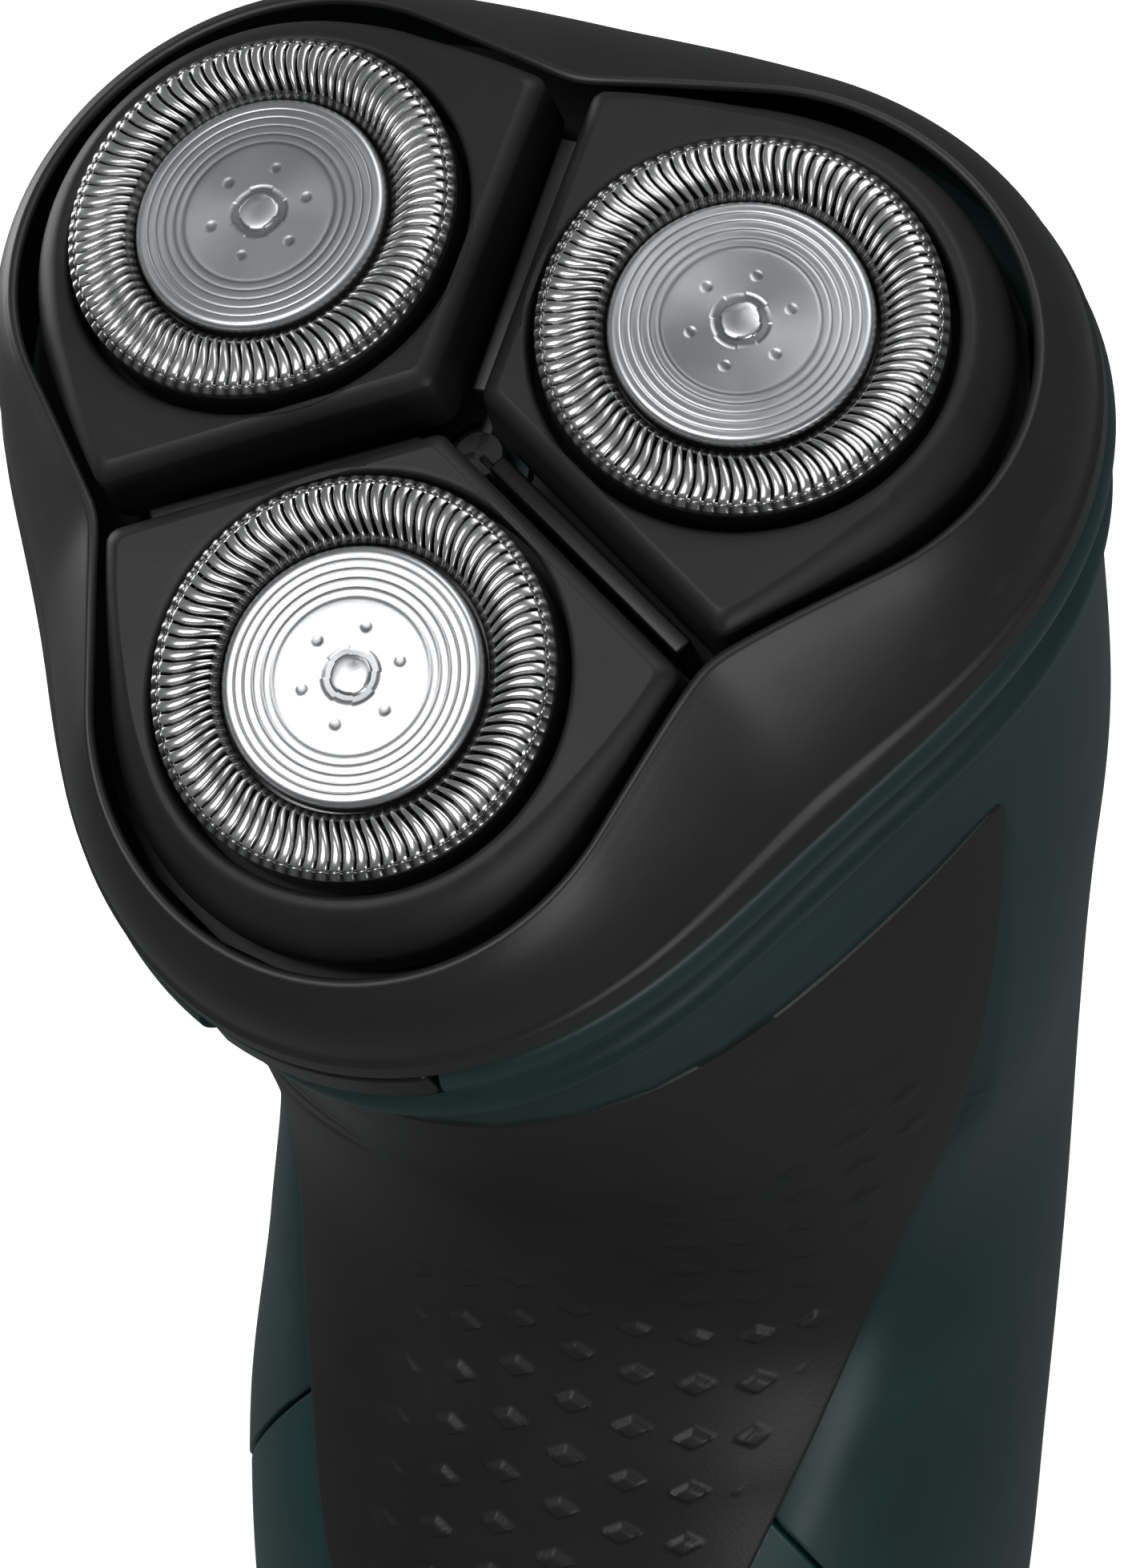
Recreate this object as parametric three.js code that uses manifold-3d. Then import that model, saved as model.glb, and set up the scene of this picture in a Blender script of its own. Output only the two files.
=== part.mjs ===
// Three-head rotary electric shaver, in millimetres, standing upright on its base: +Z up, the
// shaving face looks forward and up, towards -Y. The origin is under the middle of the whole object.
import * as THREE from "three";
import { mergeVertices } from "three/addons/utils/BufferGeometryUtils.js";
import Module from "manifold-3d";

const wasm = await Module();
wasm.setup();

// ---------------------------------------------------------------- driving dimensions

const faceHeight = 148; // centre of the shaving face above the base
const faceTilt = THREE.MathUtils.degToRad(34); // the face leans forward by this much
const standBack = 21.84; // moves the whole object so that its box is centred on the origin

// Shaving heads, measured from the centre of the shaving face. Heights in the head are along the
// face's own normal, with 0 at the top of the cap discs.
const headCircle = 17.1; // the three heads' centres lie on this radius
const headTilt = THREE.MathUtils.degToRad(5.8); // each head looks slightly outwards
const guardRadius = 11.7;
const guardHoleRadius = 7.9;
const discRadius = 7.6;
const cutterRadius = 10.4;
const cutterBlades = 9;
const clearance = 0.3; // between neighbouring pieces

const podHalfGap = 1.65; // half of the gap between two pods
const podSide = 20.2; // length of each side that faces a neighbouring pod
const podNoseRadius = 15.3;
const podFace = -1.5;
const podDepth = 5.5;
const podBevel = 0.9; // width and depth of the bevel along the sides
const podShoulder = new THREE.Vector2(1.5, 3.3); // the nose's bevel is this much wider and deeper
const lipGrowth = 1.2; // the housing's lip stands this far outside the pods

// The lobed outline of the shaving unit and of the collar below it
const lobeMean = 32.4;
const lobeDepth = 3.6;
const rearFullness = 0.6; // the outline's rear side is this much fuller than its other two
const unitRim = -15.2; // lower edge of the shaving unit
const unitWall = 1.6;
const collarTop = unitRim - clearance;
const collarWall = 3.6;

// Drive train below the heads
const spindleCircle = 16.5;
const gearModule = 1;
const gearTeeth = 22;
const pinionTeeth = 11;
const gearTop = -27;
const gearThickness = 3;
const motorTop = -34.5;
const motorLength = 24;
const motorRadius = 11;

// Handle: cross-sections from the base up to the collar. Each has its centre behind and below the
// face's centre, the lean of its plane, its half width, its depths in front of and behind the
// centre, and how much of the collar's lobed outline it takes.
const handleSections = [
  { y: 35.5, z: -148.0, lean: 0, half: 24.0, front: 24.5, back: 23.0, lobed: 0 },
  { y: 35.8, z: -142.0, lean: 0, half: 26.6, front: 27.2, back: 24.8, lobed: 0 },
  { y: 36.5, z: -126.0, lean: 0, half: 28.2, front: 29.8, back: 26.0, lobed: 0 },
  { y: 37.3, z: -108.0, lean: 0, half: 28.4, front: 30.6, back: 26.0, lobed: 0 },
  { y: 40.2, z: -92.0, lean: 3, half: 27.8, front: 30.0, back: 26.5, lobed: 0 },
  { y: 40.5, z: -76.0, lean: 12, half: 27.5, front: 28.0, back: 28.0, lobed: 0 },
  { y: 35.0, z: -58.0, lean: 23, half: 29.2, front: 28.5, back: 29.2, lobed: 0 },
  { y: 27.0, z: -42.0, lean: 30, half: 30.4, front: 29.0, back: 29.5, lobed: 0.4 },
  { y: 17.0, z: -24.4, lean: 34, half: 30.0, front: 30.0, back: 30.0, lobed: 0.8 },
  { y: 12.5, z: -18.5, lean: 34, half: 30.0, front: 30.0, back: 30.0, lobed: 1 },
];
const shellWall = 2;
const shellInset = 1.6; // the shells' top edge lies this far inside the collar
const sectionRoundness = 2.15; // 2 is an ellipse, more is squarer
const sideSeam = THREE.MathUtils.degToRad(118); // seam between front and rear shells
const baseCapTop = 0.9; // section number where the base cap meets the sleeve
const shellTop = 8.24; // section number where the shells end, under the collar's ledge
const gripDepth = 1.3;
const gripTop = 7.7;
const gripBottom = 2.55;

const round = 28; // facets round a large circle
const small = 12; // facets round a small one
const around = 36; // facets round the handle and the shaving unit

// ---------------------------------------------------------------- colours

const blackPlastic = { color: 0x232325, roughness: 0.55, metalness: 0 };
const blackRubber = { color: 0x1d1d1e, roughness: 0.8, metalness: 0 };
const greenPlastic = { color: 0x2a3c39, roughness: 0.35, metalness: 0 };
const tealPlastic = { color: 0x10302f, roughness: 0.35, metalness: 0 };
const steel = { color: 0xb9bcc0, roughness: 0.25, metalness: 1 };
const brushedSteel = { color: 0x9fa3a8, roughness: 0.4, metalness: 1 };
const whitePlastic = { color: 0xd9d7cf, roughness: 0.6, metalness: 0 };
const brass = { color: 0xb58b45, roughness: 0.35, metalness: 1 };
const boardGreen = { color: 0x1d5c3a, roughness: 0.6, metalness: 0 };
const cellBlue = { color: 0x2b4f86, roughness: 0.5, metalness: 0 };
const clearLens = { color: 0xd8f0d8, roughness: 0.2, metalness: 0 };

// ---------------------------------------------------------------- geometry helpers

function onlyPositions(geometry) {
  const bare = geometry.clone();
  bare.deleteAttribute("normal");
  bare.deleteAttribute("uv");
  return mergeVertices(bare, 1e-4);
}

function facingOut(geometry) {
  const bare = onlyPositions(geometry);
  const position = bare.attributes.position;
  const index = bare.index.array;
  const [a, b, c] = [new THREE.Vector3(), new THREE.Vector3(), new THREE.Vector3()];
  let volume = 0;
  for (let i = 0; i < index.length; i += 3) {
    a.fromBufferAttribute(position, index[i]);
    b.fromBufferAttribute(position, index[i + 1]);
    c.fromBufferAttribute(position, index[i + 2]);
    volume += a.dot(b.cross(c));
  }
  if (volume < 0) {
    for (let i = 0; i < index.length; i += 3) {
      [index[i + 1], index[i + 2]] = [index[i + 2], index[i + 1]];
    }
  }
  return bare;
}

function toSolid(geometry) {
  const bare = facingOut(geometry);
  return new wasm.Manifold(
    new wasm.Mesh({
      numProp: 3,
      vertProperties: new Float32Array(bare.attributes.position.array),
      triVerts: new Uint32Array(bare.index.array),
    }),
  );
}

function toGeometry(solid) {
  const mesh = solid.getMesh();
  const geometry = new THREE.BufferGeometry();
  geometry.setAttribute("position", new THREE.BufferAttribute(new Float32Array(mesh.vertProperties), 3));
  geometry.setIndex(new THREE.BufferAttribute(new Uint32Array(mesh.triVerts), 1));
  return geometry;
}

function join(...geometries) {
  return toGeometry(geometries.map(toSolid).reduce((whole, piece) => whole.add(piece)));
}

function cut(geometry, ...tools) {
  return toGeometry(tools.map(toSolid).reduce((whole, tool) => whole.subtract(tool), toSolid(geometry)));
}

// A cylinder along +Z between two heights
function post(radius, from, to, facets = round, x = 0, y = 0) {
  const geometry = new THREE.CylinderGeometry(radius, radius, to - from, facets);
  geometry.rotateX(Math.PI / 2);
  return geometry.translate(x, y, (from + to) / 2);
}

function block(width, depth, height, x, y, z) {
  return new THREE.BoxGeometry(width, depth, height).translate(x, y, z);
}

// A ring or a knob: [radius, height] points turned about +Z, either closed or from axis to axis
function turned(points, facets = round) {
  const geometry = new THREE.LatheGeometry(points.map(([r, z]) => new THREE.Vector2(r, z)), facets);
  return facingOut(geometry.rotateX(Math.PI / 2));
}

// A plate between two heights, from an outline in X and Y
function plate(shape, from, to, curveSegments = 12) {
  const geometry = new THREE.ExtrudeGeometry(shape, { depth: to - from, bevelEnabled: false, curveSegments });
  return geometry.translate(0, 0, from);
}

// A closed outline from a radius that depends on the angle from the front
function outline(radiusAt, facets) {
  const points = [];
  for (let i = 0; i < facets; i += 1) {
    const angle = (2 * Math.PI * i) / facets;
    const radius = radiusAt(angle);
    points.push(new THREE.Vector2(radius * Math.sin(angle), -radius * Math.cos(angle)));
  }
  return new THREE.Shape(points);
}

// A wall between two surfaces, each a function of (across, along) from 0 to 1. A looped wall closes
// on itself across; otherwise its two sides are closed too.
function wall(outer, inner, columns, rows, looped) {
  const across = looped ? columns : columns + 1;
  const positions = [];
  for (const surface of [outer, inner]) {
    for (let j = 0; j <= rows; j += 1) {
      for (let i = 0; i < across; i += 1) {
        positions.push(...surface(i / columns, j / rows).toArray());
      }
    }
  }
  const layer = across * (rows + 1);
  const at = (side, i, j) => side * layer + j * across + (i % across);
  const faces = [];
  const quad = (a, b, c, d) => faces.push(a, b, c, a, c, d);
  for (let i = 0; i < columns; i += 1) {
    for (let j = 0; j < rows; j += 1) {
      quad(at(0, i, j), at(0, i + 1, j), at(0, i + 1, j + 1), at(0, i, j + 1));
      quad(at(1, i, j), at(1, i, j + 1), at(1, i + 1, j + 1), at(1, i + 1, j));
    }
    quad(at(0, i, 0), at(1, i, 0), at(1, i + 1, 0), at(0, i + 1, 0));
    quad(at(0, i, rows), at(0, i + 1, rows), at(1, i + 1, rows), at(1, i, rows));
  }
  if (!looped) {
    for (let j = 0; j < rows; j += 1) {
      quad(at(0, 0, j), at(0, 0, j + 1), at(1, 0, j + 1), at(1, 0, j));
      quad(at(0, columns, j), at(1, columns, j), at(1, columns, j + 1), at(0, columns, j + 1));
    }
  }
  const geometry = new THREE.BufferGeometry();
  geometry.setAttribute("position", new THREE.Float32BufferAttribute(positions, 3));
  geometry.setIndex(faces);
  return facingOut(geometry);
}

// A coil spring along +Z
function coil(radius, wire, from, to, turns) {
  const points = [];
  const steps = turns * 8;
  for (let i = 0; i <= steps; i += 1) {
    const angle = (2 * Math.PI * turns * i) / steps;
    const height = from + wire + ((to - from - 2 * wire) * i) / steps;
    points.push(new THREE.Vector3(radius * Math.cos(angle), radius * Math.sin(angle), height));
  }
  const wireShape = new THREE.Shape([
    new THREE.Vector2(wire, 0), new THREE.Vector2(0, wire),
    new THREE.Vector2(-wire, 0), new THREE.Vector2(0, -wire),
  ]);
  return new THREE.ExtrudeGeometry(wireShape, {
    steps,
    extrudePath: new THREE.CatmullRomCurve3(points),
  });
}

// A spur gear outline with straight-sided teeth; clockwise phase in radians
function gearOutline(teeth, phase) {
  const pitchRadius = (gearModule * teeth) / 2;
  const tip = pitchRadius + 0.75 * gearModule;
  const root = pitchRadius - 1.05 * gearModule;
  const step = (2 * Math.PI) / teeth;
  const points = [];
  for (let tooth = 0; tooth < teeth; tooth += 1) {
    for (const [radius, part] of [[root, -0.3], [tip, -0.1], [tip, 0.1], [root, 0.3]]) {
      const angle = phase + (tooth + part) * step;
      points.push(new THREE.Vector2(radius * Math.cos(angle), radius * Math.sin(angle)));
    }
  }
  return new THREE.Shape(points);
}

// ---------------------------------------------------------------- outer surfaces

function lobedRadius(angle) {
  return lobeMean + lobeDepth * Math.cos(3 * angle) + rearFullness * Math.max(-Math.cos(angle), 0) ** 6;
}

// A smooth value between the handle's sections
function sectionValue(name, place) {
  const last = handleSections.length - 1;
  const index = Math.min(Math.floor(place), last - 1);
  const part = place - index;
  const value = (k) => handleSections[THREE.MathUtils.clamp(k, 0, last)][name];
  const [before, start, end, after] = [value(index - 1), value(index), value(index + 1), value(index + 2)];
  const slopeStart = (end - before) / 2;
  const slopeEnd = (after - start) / 2;
  const square = part * part;
  const cube = square * part;
  return (
    (2 * cube - 3 * square + 1) * start +
    (cube - 2 * square + part) * slopeStart +
    (3 * square - 2 * cube) * end +
    (cube - square) * slopeEnd
  );
}

// A point on the handle, at an angle from the front and a place along the sections
function handlePoint(angle, place, inset) {
  const lean = THREE.MathUtils.degToRad(sectionValue("lean", place));
  const depth = Math.cos(angle) > 0 ? sectionValue("front", place) : sectionValue("back", place);
  const power = sectionRoundness;
  const across = Math.abs(Math.sin(angle) / sectionValue("half", place)) ** power;
  const along = Math.abs(Math.cos(angle) / depth) ** power;
  const oval = (across + along) ** (-1 / power);
  const lobed = sectionValue("lobed", place);
  const radius = oval * (1 - lobed) + (lobedRadius(angle) - shellInset) * lobed - inset;
  const forward = radius * Math.cos(angle);
  return new THREE.Vector3(
    radius * Math.sin(angle),
    sectionValue("y", place) - forward * Math.cos(lean),
    sectionValue("z", place) - forward * Math.sin(lean),
  );
}

// The arched seam between the shells and the sleeve, as a place along the sections
function archSeam(angle) {
  const turn = Math.min(Math.abs(angle), Math.PI);
  return 2 + 2.68 * Math.cos(turn / 2) ** 9;
}

// The grip's half angle, widest at its top corners
function gripHalfAngle(place) {
  const rise = THREE.MathUtils.clamp((place - gripBottom) / (gripTop - gripBottom), 0, 1);
  const side = THREE.MathUtils.lerp(23, 84, rise ** 1.15);
  const roundEnd = Math.sqrt(1 - (1 - Math.min(rise / 0.12, 1)) ** 2);
  return THREE.MathUtils.degToRad(Math.max(side * roundEnd, 4));
}

function handlePatch(fromAngle, toAngle, fromPlace, toPlace, outerInset, innerInset, columns, rows, looped) {
  const surface = (inset) => (across, along) => {
    const angle = THREE.MathUtils.lerp(fromAngle, toAngle, across);
    const place = THREE.MathUtils.lerp(fromPlace(angle), toPlace(angle), along);
    return handlePoint(angle, place, inset);
  };
  return wall(surface(outerInset), surface(innerInset), columns, rows, looped);
}

function gripPatch(outerInset, innerInset, grow) {
  const surface = (inset) => (across, along) => {
    const place = THREE.MathUtils.lerp(gripBottom - grow / 12, gripTop + grow / 7, along);
    const angle = (2 * across - 1) * (gripHalfAngle(place) + grow / 28);
    return handlePoint(angle, place, inset);
  };
  return wall(surface(outerInset), surface(innerInset), 12, 11, false);
}

// A pod's outer corner in its head's frame, and the direction that its flank faces
const halfWedge = Math.PI / 3;
const podApex = podHalfGap / Math.sin(halfWedge) - headCircle;
const podCorner = new THREE.Vector2(
  podApex + podSide * Math.cos(halfWedge), podSide * Math.sin(halfWedge));

function flankAngle() {
  return podCorner.angle() - Math.acos(podNoseRadius / podCorner.length());
}

// The outline of all three pods together, as a radius by angle: a straight side from each outer
// corner runs on as a tangent to the rounded nose
function podsRadius(angle, grow) {
  const sector = (2 * Math.PI) / 3;
  const turn = Math.abs(((angle + 3.5 * sector) % sector) - sector / 2);
  const nose = podNoseRadius + grow;
  const normalAngle = flankAngle();
  const arcEnd = Math.atan2(nose * Math.sin(normalAngle), headCircle + nose * Math.cos(normalAngle));
  const sideways = headCircle * Math.sin(turn);
  return turn < arcEnd
    ? headCircle * Math.cos(turn) + Math.sqrt(nose ** 2 - sideways ** 2)
    : (nose + headCircle * Math.cos(normalAngle)) / Math.cos(turn - normalAngle);
}

// ---------------------------------------------------------------- scene graph

const shaver = new THREE.Group();
shaver.position.set(0, -standBack, faceHeight);
const face = new THREE.Group(); // +Z is the face's normal, -Y its front edge
face.rotation.x = faceTilt;
shaver.add(face);

function add(group, name, geometry, look) {
  const mesh = new THREE.Mesh(facingOut(geometry), new THREE.MeshStandardMaterial(look));
  mesh.name = name;
  group.add(mesh);
  return mesh;
}

// ---------------------------------------------------------------- shaving heads

const headNames = ["front", "right", "left"];
const headAngles = [-Math.PI / 2, Math.PI / 6, (5 * Math.PI) / 6];

function guard() {
  return turned([
    [guardHoleRadius, -0.6], [9.0, 0.35], [11.0, 0.35], [guardRadius, -0.7], [guardRadius, -3.4],
    [11.0, -3.4], [11.0, -0.9], [10.7, -0.35], [9.1, -0.35], [guardHoleRadius, -1.2], [guardHoleRadius, -0.6],
  ]);
}

function capDisc() {
  return turned([
    [0, -1.3], [discRadius, -1.3], [discRadius, -0.1], [1.4, 0], [0, 0.4],
  ]);
}

function cutter() {
  const wheel = turned([
    [0, -3.2], [cutterRadius, -3.2], [cutterRadius, -4.0], [3.4, -4.0],
    [3.4, -7.6], [2.0, -7.6], [2.0, -4.6], [0, -4.6],
  ], 18);
  const blades = [];
  for (let i = 0; i < cutterBlades; i += 1) {
    const blade = block(1.1, 0.5, 2.7, 9.75, 0, -2.05);
    blades.push(blade.rotateZ((2 * Math.PI * i) / cutterBlades));
  }
  return join(wheel, ...blades);
}

// A pod is a wedge with a rounded nose, its apex near the face's centre. X points outwards.
// Points round it from the apex, moved in by an inset that depends on each point.
function podRim(insetAt) {
  const tangent = flankAngle();
  const angles = [-tangent];
  for (let i = 1; i <= 14; i += 1) {
    angles.push(-tangent + (2 * tangent * i) / 14);
  }
  const noseShare = (angle) => THREE.MathUtils.smoothstep(Math.PI * 0.58 - Math.abs(angle), 0, 0.9);
  const nose = angles.map((angle) => {
    const share = noseShare(angle);
    const radius = podNoseRadius - insetAt(share);
    return { x: radius * Math.cos(angle), y: radius * Math.sin(angle), share };
  });
  const inset = insetAt(0);
  const away = halfWedge + Math.PI / 2; // direction that the upper side faces
  const sideReach = podApex * Math.cos(away) - inset;
  const flankReach = podNoseRadius - inset;
  const spread = Math.sin(away - tangent);
  const corner = {
    x: (flankReach * Math.sin(away) - sideReach * Math.sin(tangent)) / spread,
    y: (sideReach * Math.cos(tangent) - flankReach * Math.cos(away)) / spread,
    share: 0,
  };
  const apex = { x: podApex + inset / Math.sin(halfWedge), y: 0, share: 0 };
  return [apex, { ...corner, y: -corner.y }, ...nose, corner];
}

function pod() {
  const steps = [
    { cover: 0, height: () => podFace - podDepth },
    { cover: 0, height: (share) => podFace - podBevel - podShoulder.y * share },
    { cover: 0.3, height: (share) => podFace - 0.3 * (podBevel + podShoulder.y * share) },
    { cover: 1, height: () => podFace },
  ];
  const rims = steps.map(({ cover, height }) =>
    podRim((share) => cover * (podBevel + podShoulder.x * share))
      .map(({ x, y, share }) => new THREE.Vector3(x, y, height(share))));
  const columns = rims[0].length;
  const last = steps.length - 1;
  const outside = (across, along) => rims[Math.round(along * last)][Math.round(across * columns) % columns];
  const core = (across, along) => outside(across, along).clone().multiply(new THREE.Vector3(0.3, 0.3, 1));
  const body = wall(outside, core, columns, last, true);
  const opening = post(guardRadius + 0.6, -5.2, 1);
  const floorOpening = post(10.9, -12, 0);
  return cut(body, opening, floorOpening);
}

headNames.forEach((name, i) => {
  const arm = new THREE.Group();
  arm.rotation.z = headAngles[i];
  face.add(arm);
  const head = new THREE.Group();
  head.position.x = headCircle;
  head.rotation.y = headTilt;
  arm.add(head);
  add(head, `guard_${name}`, guard(), steel);
  add(head, `cap_disc_${name}`, capDisc(), brushedSteel);
  add(head, `cutter_${name}`, cutter(), steel);
  add(head, `pod_${name}`, pod(), blackPlastic);
});

// One post at each drive spindle's place
function spindlePosts(radius, from, to, facets = small) {
  return headAngles.map((angle) =>
    post(radius, from, to, facets, spindleCircle * Math.cos(angle), spindleCircle * Math.sin(angle)));
}

// ---------------------------------------------------------------- shaving unit housing

const hingePlace = new THREE.Vector2(28.6, unitRim - 1.9); // behind the centre, and height

function unitSkirt() {
  const lipHeight = (angle) => -4.4 - 2.2 * Math.cos(3 * angle);
  const surface = (inset) => (across, along) => {
    const angle = 2 * Math.PI * across;
    const lobe = (1 + Math.cos(3 * angle)) / 2;
    const rear = Math.max(-Math.cos(angle), 0) ** 4;
    const rise = along ** (1.5 + 2 * lobe + 1.3 * rear * (1 - lobe));
    const lip = podsRadius(angle, lipGrowth);
    const radius = THREE.MathUtils.lerp(lobedRadius(angle), lip, rise) - inset * (1 - 0.55 * along ** 4);
    const height = THREE.MathUtils.lerp(unitRim, lipHeight(angle), along);
    return new THREE.Vector3(radius * Math.sin(angle), -radius * Math.cos(angle), height);
  };
  return wall(surface(0), surface(unitWall), 48, 5, true);
}

function acrossRod(outer, from, to, y, z) {
  return post(outer, from, to, small).rotateY(Math.PI / 2).translate(0, y, z);
}

const skirtHinge = join(
  acrossRod(1.5, -6, 6, hingePlace.x, hingePlace.y),
  block(12, 1.8, 3.4, 0, hingePlace.x - 0.6, hingePlace.y + 1.7),
);
// A catch inside the front wall, which the release button's hook holds
const skirtCatch = block(7, 3, 1, 0, -33.7, -14.3);
const skirtBore = acrossRod(1.0, -20, 20, hingePlace.x, hingePlace.y);
add(face, "unit_skirt", cut(join(unitSkirt(), skirtHinge, skirtCatch), skirtBore), blackPlastic);

// The Y-shaped spider whose rails show between the pods
function spider() {
  const rails = [];
  for (let i = 0; i < 3; i += 1) {
    const rail = block(1.2, 16.4, 3.6, 0, 10.8, -6.4);
    const web = block(0.9, 18, 1.7, 0, 9, -8.75);
    rails.push(rail.rotateZ((2 * Math.PI * i) / 3), web.rotateZ((2 * Math.PI * i) / 3));
  }
  return join(post(1.6, -9.6, -7.9, small), ...rails);
}
add(face, "centre_spider", spider(), blackPlastic);

// The frame below the heads that keeps the cutters in
function retainingFrame() {
  const shape = outline((angle) => lobedRadius(angle) - 3.7, around);
  const frame = plate(shape, -11.4, -9.9);
  return cut(frame, ...spindlePosts(7.2, -20, 0, 18), post(3.0, -20, 0, small));
}
add(face, "retaining_frame", retainingFrame(), blackPlastic);

const lockKnob = join(
  turned([[0, -13.6], [4.4, -13.6], [4.4, -11.7], [2.6, -11.7], [2.6, -9.9], [0, -9.9]], 20),
  block(1.3, 7.2, 1.2, 0, 0, -13.9),
);
add(face, "retaining_lock", lockKnob, tealPlastic);

// ---------------------------------------------------------------- collar, hair chamber and hinge

const buttonHalfAngle = THREE.MathUtils.degToRad(11.8);

// From the top down: how far the collar stands out of the lobed outline, and the height. A rounded
// band, a groove and the ledge over the handle.
const collarProfile = [[-0.5, collarTop], [0.2, -16.8], [-0.4, -19.4], [-2, -22.8], [-0.9, -24], [-1.3, -26.6]];

function collarBand() {
  const rows = collarProfile.length - 1;
  const surface = (outer) => (across, along) => {
    const angle = 2 * Math.PI * across;
    const [outset, height] = collarProfile[Math.round(along * rows)];
    const radius = lobedRadius(angle) + (outer ? outset : -collarWall);
    return new THREE.Vector3(radius * Math.sin(angle), -radius * Math.cos(angle), height);
  };
  return wall(surface(true), surface(false), around, rows, true);
}

function frontBlockOnCollar(halfAngle, outerInset, innerInset, from, to) {
  const surface = (inset) => (across, along) => {
    const angle = (2 * across - 1) * halfAngle;
    const radius = lobedRadius(angle) - inset;
    return new THREE.Vector3(
      radius * Math.sin(angle), -radius * Math.cos(angle), THREE.MathUtils.lerp(from, to, along));
  };
  return wall(surface(outerInset), surface(innerInset), 8, 1, false);
}

const collarKnuckles = [-1, 1].flatMap((side) => [
  acrossRod(1.5, side * 8.9 - 2.6, side * 8.9 + 2.6, hingePlace.x, hingePlace.y),
]);
const collarNotch = frontBlockOnCollar(buttonHalfAngle + 0.012, -3, 8, collarTop + 1, collarTop - 4.1);
const skirtKnuckleRoom = block(12.6, 7, 4.6, 0, hingePlace.x + 1.5, hingePlace.y + 0.2);
const collar = cut(join(collarBand(), ...collarKnuckles), collarNotch, skirtBore, skirtKnuckleRoom);
add(face, "collar", collar, greenPlastic);

add(face, "hinge_pin", acrossRod(0.7, -11.3, 11.3, hingePlace.x, hingePlace.y), steel);

const buttonFace = frontBlockOnCollar(buttonHalfAngle - 0.012, 0.1, 3.2, collarTop - 0.3, collarTop - 3.7);
const buttonTongue = block(9, 6, 1.6, 0, -30.6, collarTop - 2.4);
const latchStem = block(7, 1.4, 5, 0, -30.2, -15.1);
const latchHook = block(7, 1.6, 0.9, 0, -31.1, -13.05);
add(face, "release_button", join(buttonFace, buttonTongue, latchStem, latchHook), blackPlastic);

// The hair chamber: an open pan that catches the hair, with holes for the drive spindles
function hairChamber() {
  const outside = plate(outline((a) => lobedRadius(a) - 4.7, around), -21.4, -16.1);
  const inside = plate(outline((a) => lobedRadius(a) - 6.3, around), -20.1, -10);
  const latchRoom = block(11, 9, 9, 0, -30.3, -17.5);
  return cut(outside, inside, ...spindlePosts(2.6, -30, 0), latchRoom);
}
add(face, "hair_chamber", hairChamber(), blackPlastic);

// ---------------------------------------------------------------- drive train

const spindleTip = [[0, -13], [1.4, -13], [1.4, -9.2], [0.8, -8.0], [0.8, -6.3], [0, -6.1]];

// The phase that puts a gap of this gear on the pinion's nearest tooth
function meshPhase(angle) {
  const pinionStep = (2 * Math.PI) / pinionTeeth;
  const toothOffset = Math.round(angle / pinionStep) * pinionStep - angle;
  return angle + Math.PI - (toothOffset * pinionTeeth) / gearTeeth - Math.PI / gearTeeth;
}

headNames.forEach((name, i) => {
  const x = spindleCircle * Math.cos(headAngles[i]);
  const y = spindleCircle * Math.sin(headAngles[i]);
  const station = new THREE.Group();
  station.position.set(x, y, 0);
  face.add(station);
  const teeth = plate(gearOutline(gearTeeth, meshPhase(headAngles[i])), gearTop - gearThickness, gearTop);
  const hub = post(2.4, gearTop - gearThickness, gearTop + 1.4, small);
  add(station, `gear_${name}`, cut(join(teeth, hub), post(1.15, -40, 0, small)), whitePlastic);
  const shaft = join(post(0.85, -32, -12, small), turned(spindleTip, small));
  add(station, `spindle_${name}`, shaft, steel);
  const spring = coil(1.75, 0.25, -24.8, -16.2, 3);
  add(station, `spindle_spring_${name}`, spring, steel);
});

const pinionShape = gearOutline(pinionTeeth, 0);
const pinionShaft = post(1, motorTop + clearance, gearTop + 0.5, small);
const pinion = join(plate(pinionShape, gearTop - gearThickness, gearTop), pinionShaft);
add(face, "motor_pinion", pinion, brass);

const gearboxInset = 6.3; // the gearbox's outline lies this far inside the lobed one
const gearboxWall = 0.9;
const gearboxFloor = -31;
function gearboxPlate(from, to, inset) {
  return plate(outline((angle) => lobedRadius(angle) - gearboxInset - inset, around), from, to);
}
const cover = cut(gearboxPlate(-25.2, -24.0, 0), ...spindlePosts(2.8, -40, 0));
add(face, "gearbox_cover", cover, blackPlastic);
const tray = cut(
  gearboxPlate(-33.6, -25.5, 0), gearboxPlate(gearboxFloor, -20, gearboxWall),
  ...spindlePosts(1.4, -40, 0), post(2.2, -40, 0, 20),
);
add(face, "gearbox_tray", tray, blackPlastic);

const motorBody = turned([
  [0, motorTop - motorLength], [motorRadius - 1, motorTop - motorLength],
  [motorRadius, motorTop - motorLength + 1],
  [motorRadius, motorTop - 0.8], [motorRadius - 0.8, motorTop], [0, motorTop],
]);
add(face, "motor", motorBody, brushedSteel);
const damperRing = turned([
  [motorRadius + 0.3, -52], [motorRadius + 2.3, -52], [motorRadius + 2.3, -44], [motorRadius + 0.3, -44],
  [motorRadius + 0.3, -52],
]);
add(face, "motor_damper", damperRing, blackRubber);

// ---------------------------------------------------------------- handle shells, sleeve and grip

const gripCutter = gripPatch(-3, gripDepth + clearance, clearance * 1.4);
const whole = 2 * Math.PI;
const seamGap = clearance / 7;

const thickWall = shellWall + 0.8; // where the grip is let into it
const frontShell = handlePatch(
  -sideSeam, sideSeam, (a) => archSeam(a) + seamGap, () => shellTop, 0, thickWall, 20, 10, false);
add(shaver, "front_shell", cut(frontShell, gripCutter), greenPlastic);

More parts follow.
